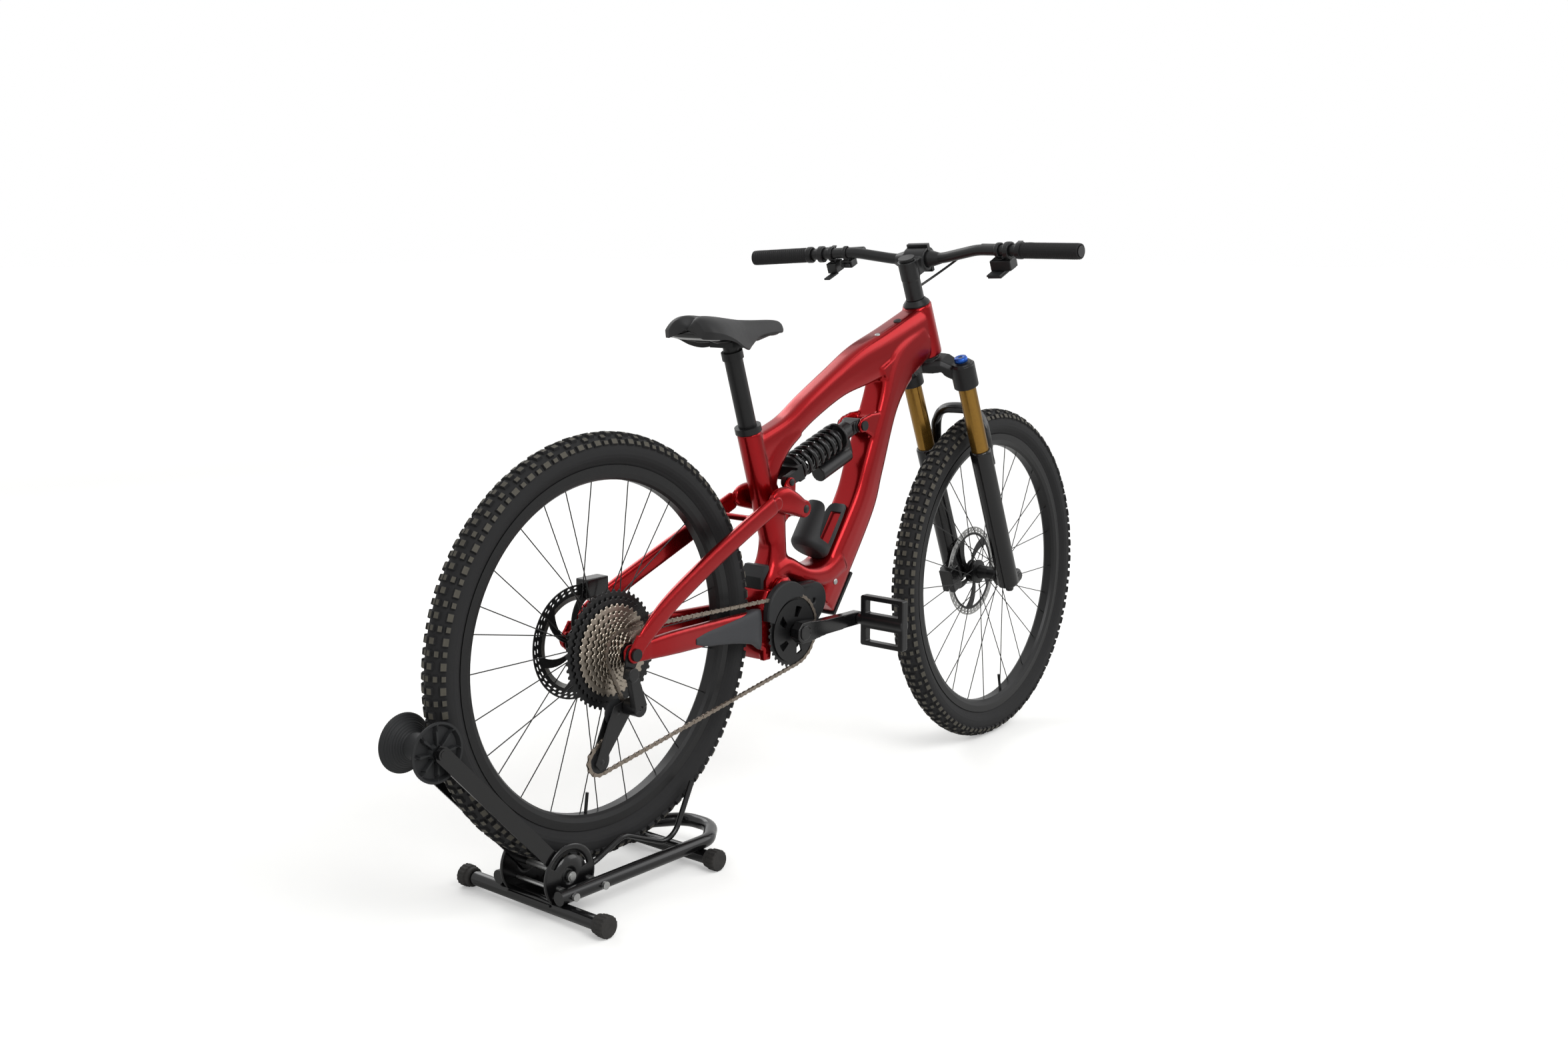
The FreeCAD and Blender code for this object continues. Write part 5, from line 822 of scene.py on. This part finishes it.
def rod_on(origin, axes, low, high):
    """The ends of a rod along an axis, between two heights, in millimetres from the rear axle's foot."""
    return (np.array([(0, 0, low), (0, 0, high)], float) @ axes + origin) - [REAR_X, 0, 0]


# %% Melting shells into one skin
def melted(name, shells, material, body, stands_for, voxel, rounds, cutters=()):
    """Join overlapping shells by voxels, cut clear spaces, and smooth the skin."""
    made = piece(name, shells, material, body, stands_for)
    modified(made, "REMESH", mode="VOXEL", voxel_size=voxel * MM)
    modified(made, "SMOOTH", factor=0.5, iterations=rounds)
    for index, cutter_shell in enumerate(cutters):
        cutter = piece(f"{name}_cutter_{index}", [cutter_shell], material, body)
        modified(made, "BOOLEAN", operation="DIFFERENCE", solver="MANIFOLD", object=cutter)
    applied(made)
    for cutter in [item for item in bpy.data.objects if item.name.startswith(f"{name}_cutter_")]:
        bpy.data.objects.remove(cutter)
    made.data.polygons.foreach_set("use_smooth", np.full(len(made.data.polygons), True))
    modified(made, "EDGE_SPLIT", split_angle=math.radians(42))
    applied(made)
    print(name, "has", len(made.data.polygons), "faces")
    return made


# %% Frame tubes: ahead, across, up, tilt, depth, width
TOP_TUBE = [(935, 0, 938, 25, 100, 60), (825, 0, 900, 22, 95, 54), (730, 0, 873, 24, 84, 50),
            (648, 0, 843, 26, 62, 46), (561, 0, 801, 28, 54, 44), (494, 0, 763, 24, 54, 42),
            (415, 0, 732, 20, 62, 42)]
DOWN_TUBE = [(930, 0, 922, 48, 96, 60), (850, 0, 872, 58, 105, 60), (800, 0, 790, 66, 66, 64),
             (748, 0, 668, 65, 70, 68), (716, 0, 593, 60, 76, 68), (632, 0, 473, 55, 80, 70),
             (588, 0, 410, 54, 78, 70)]
ARCH = [(640, 0, 490, 30, 60, 72), (590, 0, 470, 20, 50, 76), (530, 0, 476, -8, 42, 78),
        (478, 0, 500, -20, 44, 64), (445, 0, 492, 20, 46, 62)]
PIVOT, ROCKER, STAY, YOKE, SHOCK = (445, 470), (493, 615), (412, 634), (468, 668), (709, 754)
HEAD_LOW, HEAD_HIGH = 566, 681
seat_rod = rod_on(SEAT_ORIGIN, SEAT_AXES, -280, 5)
head_rod = rod_on(HEAD_ORIGIN, HEAD_AXES, HEAD_LOW, HEAD_HIGH)
head_room = rod_on(HEAD_ORIGIN, HEAD_AXES, HEAD_LOW - 120, HEAD_LOW)
head_roof = rod_on(HEAD_ORIGIN, HEAD_AXES, HEAD_HIGH, HEAD_HIGH + 80)
lug_outline = [(-4, 15), (-15, 0), (-8, -14), (8, -14), (54, -38), (66, 24), (24, 22)]
frame_shells = [ridged(TOP_TUBE), ridged(DOWN_TUBE), lofted(ARCH), barrel(*seat_rod, 23.4),
                barrel(*head_rod, 31), cross_pin(PIVOT, -32, 32, 18), cross_pin(ROCKER, -35, 35, 17),
                plate_shell(np.array([(0, 16), (-50, 16), (-38, -40), (0, -16)]) + ROCKER, 0, 40),
                plate_shell(np.array([(40, -18), (74, -18), (74, 14), (40, 14)]) + SHOCK, 0, 42)]
SEAT_PART = [(436, 0, 655, 104, 48, 46), (452, 0, 605, 98, 52, 48), (459, 0, 560, 90, 46, 46),
             (457, 0, 520, 86, 50, 52), (448, 0, 485, 84, 66, 62), (444, 0, 462, 84, 66, 62)]
ELBOW = [(520, 0, 766, 28, 44, 38), (480, 0, 742, 42, 50, 40), (452, 0, 710, 70, 52, 40),
         (438, 0, 672, 98, 44, 40), (436, 0, 640, 104, 40, 40)]
HEAD_WEB = [(770, 862), (806, 820), (850, 868), (925, 925), (870, 912)]
frame_shells += [lofted(SEAT_PART, 60, 40, 0.6), lofted(ELBOW, 60, 40, 0.5), plate_shell(HEAD_WEB, 0, 56)]
frame_shells += [plate_shell(np.array(lug_outline) + SHOCK, side * 25, 8) for side in (-1, 1)]
CROWN_ROOM, STEM_ROOM, CRANK_ROOM, MOTOR_ROOM, SHARP = 102, 60, 48.1, 45.1, 0.1
frame_cutters = [barrel(*head_room, CROWN_ROOM, round_end=SHARP),
                 barrel(*head_roof, STEM_ROOM, round_end=SHARP),
                 cross_pin(CRANK, -100, 100, CRANK_ROOM, SHARP),
                 cross_pin(MOTOR, -100, 100, MOTOR_ROOM, SHARP),
                 plate_shell([(455, 366), (521, 366), (521, 434), (455, 434)], 0, 200)]
melted("front_frame_skin", frame_shells, candy_red, "frame", ["front_frame"], 2.8, 5, frame_cutters)

# %% [markdown]
# ## Swingarm and seat stays
# The rear triangle is forged and welded from slim tapering stays. They are lofts as well, with flat dropout
# plates at the axle and round ears at the pivots, melted together in the same way.

# %% Rear triangle
CHAINSTAY = [(392, 40.5, 392, 0, 84, 11), (372, 41.5, 400, 0, 72, 12), (345, 47, 410, 0, 60, 20),
             (250, 53, 420, 0, 46, 18), (110, 69, 427, 0, 42, 18), (30, 73, 427, 0, 34, 13)]
DROPOUT = [(-17, -7), (-17, 7), (-7, 17), (45, 17), (45, -17), (-7, -17)]
EAR = [(-62, -134), (-42, -134), (-42, -55), (7, -17), (18, -8), (20, 8), (10, 18), (-9, 18), (-20, 10),
       (-62, -40)]


def mirrored(sections, side):
    """The same sections on the right or on the left."""
    rows = np.array(sections, float)
    rows[:, 1] *= side
    return rows


UPRIGHT = [(404, 0, 470, 90, 20, 84), (397, 0, 440, 90, 34, 88), (393, 0, 395, 90, 38, 90),
           (396, 0, 355, 90, 34, 88), (402, 0, 334, 90, 22, 80)]
swing_shells = [lofted(UPRIGHT, 50, 48, 0.6)]
for side in (-1, 1):
    swing_shells.append(lofted(mirrored(CHAINSTAY, side), 80, 36, 0.5))
    swing_shells.append(plate_shell(np.array(DROPOUT) + (0, REAR_AXLE_Z), side * 76.9, 5.7))
    swing_shells.append(plate_shell(np.array(EAR) + PIVOT, side * 39.3, 12))
    swing_shells.append(cross_pin(PIVOT, side * 32, side * 47.6, 13))
melted("swingarm_skin", swing_shells, candy_red, "swing", ["swingarm"], 2.4, 4, ())

# %% Seat stays
stay_shells = [cross_pin((338, 615), -55, 55, 6)]
for side in (-1, 1):
    low_y, low_width = (83, 6) if side > 0 else (86.6, 4.6)
    sections = [(404, 52, 632, 22, 34, 12), (328, 55, 601, 24, 34, 15), (220, 62, 555, 24, 34, 16),
                (117, 72, 508, 26, 34, 16), (58, 80.5, 476, 32, 34, 12), (16, low_y, 446, 45, 30, low_width)]
    stay_shells.append(lofted(mirrored(sections, side), 90, 32, 0.5))
    foot = [(-13, 8), (13, -8), (34, 18), (6, 34)]
    stay_shells.append(plate_shell(np.array(foot) + (0, REAR_AXLE_Z), side * low_y, low_width))
    stay_shells.append(cross_pin((0, REAR_AXLE_Z), side * low_y - low_width / 2,
                                 side * low_y + low_width / 2, 16))
    stay_shells.append(cross_pin(STAY, side * 52 - 5, side * 52 + 5, 14))
melted("seatstays_skin", stay_shells, candy_red, "stay_pair", ["seatstays"], 2.2, 3, ())

# %% [markdown]
# ## Saddle
# A saddle is a moulded foam pad under a glued cover, wide at the sit bones and narrow at the nose, with a
# groove along its middle. Its shell is one closed loft: crowned top, drooping flanks, shallow channel and
# split tail.

# %% Saddle surface
SADDLE = [  # ahead, top height, drop of the flank, width
    (224, 984, 22, 84), (234, 988, 27, 122), (252, 989, 32, 140), (278, 987, 40, 143), (304, 984, 50, 136),
    (330, 981, 53, 116), (356, 979, 45, 86), (392, 978, 31, 58), (432, 976, 24, 45), (466, 972, 20, 37),
    (479, 967, 12, 24)]
CHANNEL_DEPTH, CHANNEL_WIDTH, TAIL_SPLIT, SPLIT_WIDTH, TAIL_WALL = 6.5, 9.0, 22.0, 13.0, 11.0


def saddle_surface(steps=130, columns=112):
    """Crowned sections: the flank falls with about the cube of the distance out; the underside follows."""
    x, crown, drop, width = (column[:, None] for column in catmull(SADDLE, steps).T)
    angle = full_turn(columns)
    across = (np.sign(np.cos(angle)) * np.abs(np.cos(angle)) ** 0.75)[None]
    above = (np.sin(angle) > 0)[None]
    share = np.abs(across)
    length = (x - x[0]) / (x[-1] - x[0])
    side = across * width / 2 * np.where(above, 1, 0.97)
    top = crown - drop * share ** 3.1
    wall = 3 + 13 * (1 - share ** 2) + TAIL_WALL * np.exp(-(length / 0.16) ** 2)
    channel = CHANNEL_DEPTH * np.exp(-(side / CHANNEL_WIDTH) ** 2) * np.exp(-((length - 0.4) / 0.42) ** 6)
    height = np.where(above, top - channel, top - wall)
    split = TAIL_SPLIT * np.exp(-(side / SPLIT_WIDTH) ** 2) * np.exp(-(length / 0.08) ** 2)
    return skin(bike(np.stack([x + split, side, height], axis=2)))


saddle = piece("saddle_cover", [saddle_surface()], saddle_cover, "dropper", ["saddle"])
modified(saddle, "SUBSURF", levels=1, render_levels=1)

# %% Saddle base
BASE = [(230, 0, 957, 0, 14, 84), (246, 0, 955, 0, 20, 116), (272, 0, 954, 0, 20, 122),
        (300, 0, 953, 0, 16, 104), (330, 0, 953, 0, 12, 76), (350, 0, 955, 0, 8, 50)]
NOSE_BASE = [(424, 0, 953, 0, 8, 26), (444, 0, 951, 0, 14, 32), (464, 0, 953, 0, 14, 28),
             (474, 0, 957, 0, 8, 18)]
piece("saddle_base", [lofted(BASE, 40, 48, 0.5), lofted(NOSE_BASE, 30, 36, 0.5)], gloss_black, "dropper")
print("saddle made")

# %% [markdown]
# ## Grips
# Lock-on grips are rubber sleeves moulded with raised ribs and pads over a hard core, clamped by an alloy
# collar.

# %% Ribbed grips
COLLAR_LENGTH, CORE_RADIUS = 11.8, 11.2


def sleeve(side, start, length, radius_at, rows=140, columns=72):
    """A sleeve round the bar whose radius is a function of the distance along it and the angle round it."""
    begin, end = bar_centre(side * start), bar_centre(side * (start + length))
    run = (end - begin) / np.linalg.norm(end - begin)
    first = np.cross(run, [1.0, 0, 0])
    first /= np.linalg.norm(first)
    second = np.cross(run, first)
    along = np.linspace(0, length, rows)[:, None]
    turn = full_turn(columns)[None]
    radius = radius_at(along, turn)[..., None]
    around = np.cos(turn)[..., None] * first + np.sin(turn)[..., None] * second
    grid = begin + run * along[..., None] + radius * around
    inner = begin + run * along[..., None] + CORE_RADIUS * around
    return placed(np.concatenate([grid, inner[::-1]], axis=0), HEAD_ORIGIN, STEER_AXES)


def grip_radius(along, turn):
    """Rings 5 mm apart on the thumb side and small diamonds on the palm side, fading out at both ends."""
    rings = 0.9 * np.clip(np.sin(2 * math.pi * along / 5) * 2, 0, 1)
    diamonds = 0.9 * np.clip(np.sin(turn * 12 + along * 0.9) * np.sin(turn * 12 - along * 0.9) * 2.5, 0, 1)
    palm = 0.5 + 0.5 * np.tanh(6 * np.cos(turn))
    fade = np.clip(along / 4, 0, 1) * np.clip((GRIP_LENGTH - 1 - along) / 4, 0, 1)
    return 15.1 + (rings * (1 - palm) + diamonds * palm) * fade


def collar_radius(along, turn):
    """A clamp ring that is round at both edges."""
    return 17.3 - 0.8 * np.abs(along / (COLLAR_LENGTH / 2) - 1) ** 6 + 0 * turn


grip_shells, collar_shells = [], []
for side in (-1, 1):
    start = BAR_HALF - GRIP_LENGTH
    grip_shells.append(skin(sleeve(side, start, GRIP_LENGTH - 1, grip_radius), wrap_u=True))
    collar_shells.append(skin(sleeve(side, start - 12, COLLAR_LENGTH, collar_radius, 24), wrap_u=True))
piece("grip_sleeves", grip_shells, grip_rubber, "steering", ["grips"])
piece("grip_collars", collar_shells, black_anodised, "steering")
print("grips made")

# %% [markdown]
# ## Forged and cast pieces with soft edges
# A forging or casting never has knife edges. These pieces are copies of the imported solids, merged, then
# remeshed by voxels and smoothed a little, which rounds every edge as a die or a mould does.

# %% Softened copies
def softened(node, material, body, voxel, rounds, slot_name):
    """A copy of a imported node's mesh with its doubles merged, remeshed and smoothed."""
    source = frame["nodes"][node]
    mesh = source.data.copy()
    mesh.transform(source.matrix_world)
    made = bpy.data.objects.new(node + "_soft", mesh)
    bpy.context.scene.collection.objects.link(made)
    mesh.materials.clear()
    mesh.materials.append(material)
    modified(made, "WELD", merge_threshold=0.02 * MM)
    modified(made, "REMESH", mode="VOXEL", voxel_size=voxel * MM)
    modified(made, "SMOOTH", factor=0.5, iterations=rounds)
    applied(made)
    made.data.polygons.foreach_set("use_smooth", np.full(len(made.data.polygons), True))
    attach(made, body)
    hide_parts(node)
    print(node, "softened to", len(made.data.polygons), "faces")
    return made


SOFTENED = (  # node, finish, body, voxel in mm, rounds of smoothing, slot
    ("fork_lowers", gloss_black, "lowers", 2.2, 4, "gloss_black"),
    ("fork_crown", black_anodised, "steering", 1.8, 3, "black_alloy"),
    ("crank_right", gloss_black, "cranks", 1.5, 3, "black_alloy"),
    ("crank_left", gloss_black, "cranks", 1.5, 3, "black_alloy"),
    ("stem", satin_black, "steering", 1.4, 2, "black_alloy"),
    ("drive_unit", black_moulding, "frame", 2.2, 3, "matte_black"),
    ("shock_body", satin_black, "shock_can", 1.4, 2, "black_alloy"),
    ("derailleur_body", satin_black, "derailleur", 1.2, 3, "black_alloy"),
    ("derailleur_cage", satin_black, "jockey_cage", 1.0, 2, "black_alloy"),
    ("rear_caliper", gloss_black, "stay_pair", 1.4, 10, "black_alloy"),
    ("front_caliper", gloss_black, "lowers", 1.4, 6, "black_alloy"),
    ("pedal_right", satin_black, "pedal_right", 1.4, 3, "black_alloy"),
    ("pedal_left", satin_black, "pedal_left", 1.4, 3, "black_alloy"),
    ("left_controls", satin_black, "steering", 1.3, 3, "black_alloy"),
    ("right_controls", satin_black, "steering", 1.3, 3, "black_alloy"),
)
for row in SOFTENED:
    softened(*row)

# %% [markdown]
# ## Rocker
# The rocker is a forged arm on each side: a thick tapering horn from the seat stays down to its pivot barrel,
# with a slim lug up to the shock's yoke. Horn, barrel and lug are melted into one.

# %% Rocker horns
rocker_shells = [cross_pin(ROCKER, -50, 50, 8)]
HORN = [(402, 46, 640, -12, 22, 12), (416, 46, 640, -12, 40, 18), (440, 46, 638, -14, 50, 22),
        (466, 47, 628, -16, 44, 22), (488, 47, 617, -18, 36, 20), (500, 47, 612, -18, 30, 16)]
LUG = [(436, 640), (456, 672), (464, 678), (474, 676), (480, 668), (478, 636)]
for side in (-1, 1):
    rocker_shells.append(lofted(mirrored(HORN, side), 70, 44, 0.62))
    rocker_shells.append(plate_shell(LUG, side * 39, 6))
    rocker_shells.append(cross_pin(ROCKER, side * 36, side * 56, 17))
melted("rocker_horns", rocker_shells, candy_red, "rocker_link", ["rocker"], 1.6, 4, ())
bolt_shells = []
for side in (-1, 1):
    bolt_shells.append(cross_pin(ROCKER, side * 55, side * 58, 8, round_end=0.8))
    bolt_shells.append(cross_pin(YOKE, side * 41, side * 44, 7, round_end=0.8))
piece("rocker_bolts", bolt_shells, black_anodised, "rocker_link")

# %% [markdown]
# ## Bottle cage
# The cage is one moulding of nylon with carbon fibre: a cup whose wall rises behind the bottle into a rounded
# tongue and in front into a frame with a window, which is bolted to the down tube.

# %% Bottle cage wall
CAGE_LEAN = math.radians(55)
CAGE_AXES = np.array([[math.sin(CAGE_LEAN), 0, -math.cos(CAGE_LEAN)], [0, 1.0, 0],
                      [math.cos(CAGE_LEAN), 0, math.sin(CAGE_LEAN)]])
CAGE_FOOT = np.array([632, 0, 473]) - 40.2 * CAGE_AXES[0]
CUP_RADIUS, CUP_BACK, CUP_LOW, TONGUE, FRONT = 36.5, 38, 20, 92, 124
WINDOW_HALF_ANGLE, WINDOW_MARGIN, CAGE_THICK = 22, 6, 3.2


def cage_wall(rows=34, columns=120):
    """A cup wall whose top edge depends on the angle: high at the back and the front, low at the sides."""
    turn = full_turn(columns)
    back = 1 / (1 + np.exp(-26 * (-np.cos(turn) - 0.66)))
    front = 1 / (1 + np.exp(-26 * (np.cos(turn) - 0.72)))
    round_off = 1 - 0.16 * np.clip(np.abs(np.sin(turn)) / 0.7, 0, 1) ** 4
    edge = CUP_LOW + ((TONGUE - CUP_LOW) * back + (FRONT - CUP_LOW) * front) * round_off
    share = np.linspace(0, 1, rows)[:, None]
    radius = CUP_RADIUS - 7 * (1 - np.clip(share * edge / 10, 0, 1)) ** 2
    grid = polar(radius, turn, share * edge) - [CUP_BACK, 0, 0]
    row, column = np.meshgrid(np.arange(rows - 1), np.arange(columns), indexing="ij")
    angle = (column + 0.5) * 360 / columns
    window = np.minimum(angle, 360 - angle) < WINDOW_HALF_ANGLE
    window &= (row >= WINDOW_MARGIN) & (row < rows - WINDOW_MARGIN)
    faces = cell_faces(row[~window], column[~window], columns)[:, [0, 3, 2, 1]].tolist()
    floor_middle = rows * columns
    around = np.arange(columns)
    faces += np.stack([(around + 1) % columns, around, np.full(columns, floor_middle)], axis=1).tolist()
    points = np.vstack([grid.reshape(-1, 3), [[-CUP_BACK, 0, 0]]])
    return points @ CAGE_AXES + CAGE_FOOT, faces


cage_points, cage_faces = cage_wall()
cage = piece("bottle_cage_shell", [(bike(cage_points), cage_faces)], black_moulding, "frame", ["bottle_cage"],
             outward=False)
modified(cage, "SOLIDIFY", thickness=CAGE_THICK * MM, offset=1)
modified(cage, "BEVEL", width=0.9 * MM, segments=2, limit_method="ANGLE")
print("cage wall", len(cage_faces), "faces")

# %% [markdown]
# ## Chain guide, motor cover and guard
# A moulded guide holds the chain down on the ring, and the motor's end cover is ribbed to shed heat. Guides
# and covers are sectors and rings round the crank or the motor's axis. A rubber guard keeps the chain off the
# stay.

# %% Guide, motor cover and chainstay guard
GUIDE_SPAN, GUIDE_EDGE = (72, 158), (84, 98, 103, 98, 84)


def sector(first, last, inner, outer, near, far, steps=40):
    """A block swept round the crank between two angles, its outer radius following a smooth list of radii."""
    turn = np.radians(np.linspace(first, last, steps))
    edge = catmull(np.array(outer, float)[:, None], steps)[:, 0]
    profile = [(inner + 0 * edge, near), (edge - 2, near), (edge, near + 2), (edge, far - 2), (edge - 2, far),
               (inner + 0 * edge, far)]
    rows = [np.stack([CRANK[0] + radius * np.cos(turn), across + 0 * turn, CRANK[1] + radius * np.sin(turn)],
                     axis=1) for radius, across in profile]
    return skin(bike(np.stack(rows, axis=1)))


GUIDE_PARTS = ((66, -62, -58.6), (77, -60, -46))  # inner radius, near side, far side
guide_shells = [sector(*GUIDE_SPAN, inner, GUIDE_EDGE, near, far) for inner, near, far in GUIDE_PARTS]
guide = piece("chain_guide", guide_shells, black_moulding, "frame", smooth=False)
modified(guide, "BEVEL", width=0.8 * MM, segments=2, limit_method="ANGLE")
ribs = [(4, -44), (37, -44)] + [(36.5 - 2 * step, -48.5 - 1.2 * (step % 2)) for step in range(16)]
COVER_PLACE = np.array([REAR_X + 527, 0, 430])
cover_ring = closed_ring(turned_profile(ribs, 72), COVER_PLACE, ACROSS_AXES)
piece("motor_cover", [cover_ring], black_moulding, "frame")
GUARD = [(370, 42, 400, 0, 78, 17), (345, 47.5, 409, 0, 66, 25.5), (300, 50.5, 412, 0, 50, 24.5),
         (250, 53.5, 414, 0, 38, 23.5), (200, 58.5, 416, 0, 28, 23.5), (168, 62, 418, 0, 14, 22)]
piece("chainstay_pad", [lofted(mirrored(GUARD, -1), 60, 48, 0.5)], grey_guard, "swing", ["chainstay_guard"])
print("guide, motor cover and guard made")

# %% [markdown]
# ## Bolts, port, rebound knob and fork arch
# Small parts tell the eye how big the bicycle is: a bright bolt on the battery bay, a port and a screw on the
# top tube, and a blue knob on the fork. The fork's arch is a flattened tube along a smooth path between the
# legs.

# %% Bolts, port and knob
bay_bolt = cross_pin((612, 452), -35.5, -33, 6, round_end=0.8)
piece("battery_bay_bolt", [bay_bolt], zinc_plate, "frame")
port = barrel((843, -10, 954), (841, -10, 958.8), 8, round_end=1)
piece("charge_port", [port], black_moulding, "frame")
port_screw = barrel((773, -12, 929), (771.2, -12, 933.6), 5.5, round_end=1)
piece("top_tube_screw", [port_screw], zinc_plate, "frame")
LEG_FORWARD, LEG_SPACING = 17, 68
knob = turned_profile([(0.5, 543), (14.2, 543), (14.2, 549), (12.6, 552.8), (5, 552.8), (4.5, 551.6),
                       (0.5, 551.6)], 48)
knob += [LEG_FORWARD, -LEG_SPACING, 0]
piece("rebound_knob", [closed_ring(knob, HEAD_ORIGIN, STEER_AXES)], blue_anodised, "steering")

# %% Fork arch
HALF_ARCH = [(50, 64, 296), (58, 63, 345), (65, 54, 384), (65, 28, 407)]
ARCH_DEEP, ARCH_THICK = 12, 9
arch_path = catmull([(ahead, -across, up) for ahead, across, up in HALF_ARCH] + HALF_ARCH[::-1], 60)
run = np.gradient(arch_path, axis=0)
run /= np.hypot(run[:, 1], run[:, 2])[:, None]
outward = np.stack([0 * run[:, 0], -run[:, 2], run[:, 1]], axis=1)[:, None]
round_side, round_up = superellipse(36, 0.7)
brace = arch_path[:, None] + np.array([1.0, 0, 0]) * round_side[None, :, None] * ARCH_DEEP
brace = brace + outward * round_up[None, :, None] * ARCH_THICK
piece("fork_arch_brace", [skin(placed(brace, HEAD_ORIGIN, STEER_AXES))], gloss_black, "lowers")
print("bolts, knob and arch made")

# %% [markdown]
# ## Stand roller, ears and feet
# The stand presses a moulded roller against the tyre. Its cones are grooved and its end faces are ribbed to
# save material. Stamped steel ears carry the arm, each with a curved slot, and fluted rubber caps close the
# tubes.

# %% Roller
ROLLER_PLACE = np.array([REAR_X - 385.4, 0, 340])
ROLLER_HALF, ROLLER_CORE, ROLLER_FLANGE, RIBS = 42.8, 22, 49, 8


def roller_face(sign, rows=12, columns=96):
    """An end face sunk between a hub and a rim, with eight ribs left standing."""
    radius = np.linspace(7, ROLLER_FLANGE, rows)[:, None]
    turn = full_turn(columns)[None]
    rib = np.abs((turn * RIBS / (2 * math.pi) + 0.5) % 1 - 0.5) * 2 * math.pi * radius / RIBS < 2.4
    sunk = (radius > 13) & (radius < 44) & ~rib
    height = sign * (ROLLER_HALF - 7 * sunk)
    return polar(radius, turn, height)


def roller_cones(rows=90, columns=96):
    """Two cones that meet in a straight core, with square grooves a few millimetres apart on the cones."""
    across = np.linspace(-ROLLER_HALF, ROLLER_HALF, rows)
    cone = np.clip((np.abs(across) - 16) / 24, 0, 1)
    groove = 1.1 * (np.sin(across * 2.1) > 0.2) * (np.abs(across) > 15)
    radius = (ROLLER_CORE + (ROLLER_FLANGE - ROLLER_CORE) * cone - groove)[:, None]
    return polar(radius, full_turn(columns)[None], across[:, None])


roller_grid = np.concatenate([roller_face(-1), roller_cones(), roller_face(1)[::-1]])
piece("roller_moulding", [closed_ring(roller_grid, ROLLER_PLACE, ACROSS_AXES)], black_moulding, "roller",
      ["stand_roller"], smooth=False)
print("roller made")

# %% Ears and base plate
ARM_PIVOT, EAR_ACROSS, PLATE_BOTTOM, PLATE_THICK = (-131, 67), 55, 24, 4
EAR_RADII = (6.2, 22, 37, 42, 52, 56)


def ear_slot(row, column):
    """Leave a curved slot open in the third ring of cells."""
    return ~((row == 2) & (column > 4) & (column < 50))


ear_shells = []
for side in (-1, 1):
    points, faces = masked_ring(EAR_RADII, 120, 0, ear_slot, side * EAR_ACROSS)
    low = np.maximum(points[:, 1] + ARM_PIVOT[1], PLATE_BOTTOM)
    flat = np.stack([points[:, 0] + ARM_PIVOT[0], points[:, 2], low], axis=1)
    ear_shells.append((bike(flat), faces))
ears = piece("stand_ears", ear_shells, gloss_black, "stand", ["stand_bracket"],
             outward=False)
modified(ears, "SOLIDIFY", thickness=PLATE_THICK * MM, offset=0)
plate_top = PLATE_BOTTOM + PLATE_THICK
base_outline = [(-176, PLATE_BOTTOM), (-76, PLATE_BOTTOM), (-76, plate_top), (-176, plate_top)]
base_plate = plate_shell(base_outline, 0, 2 * (EAR_ACROSS - 2))
piece("stand_base_plate", [base_plate], gloss_black, "stand", smooth=False)
print("ears made")

# %% Foot caps
CROSS_TUBES = ((-162, 176), (172, 114))  # ahead, half width
FOOT_HEIGHT, CAP_START, FLUTES = 20, 21.6, 16
CAP_PROFILE = np.array([(0, 15.5), (2, 17), (9, 17), (11, 19.4), (26, 19.6), (28, 17.5), (28, 10), (27, 0.5)])


def foot_cap(ahead, half_width, side):
    """A turned cap over a tube's end, with flutes pressed into the wider part of its wall."""
    along, reach = CAP_PROFILE[:, :1], CAP_PROFILE[:, 1:]
    turn = full_turn(96)[None]
    radius = reach * (1 - 0.05 * (np.cos(turn * FLUTES) > 0.3) * (np.abs(along - 19) < 9))
    across = side * (half_width - CAP_START + along) + 0 * turn
    return skin(bike(np.stack([ahead + radius * np.cos(turn), across, FOOT_HEIGHT + radius * np.sin(turn)],
                              axis=2)))


foot_shells = [foot_cap(*tube, side) for tube in CROSS_TUBES for side in (-1, 1)]
piece("foot_caps", foot_shells, scuffed_rubber, "stand", ["stand_feet"], smooth=False)
print("foot caps made")
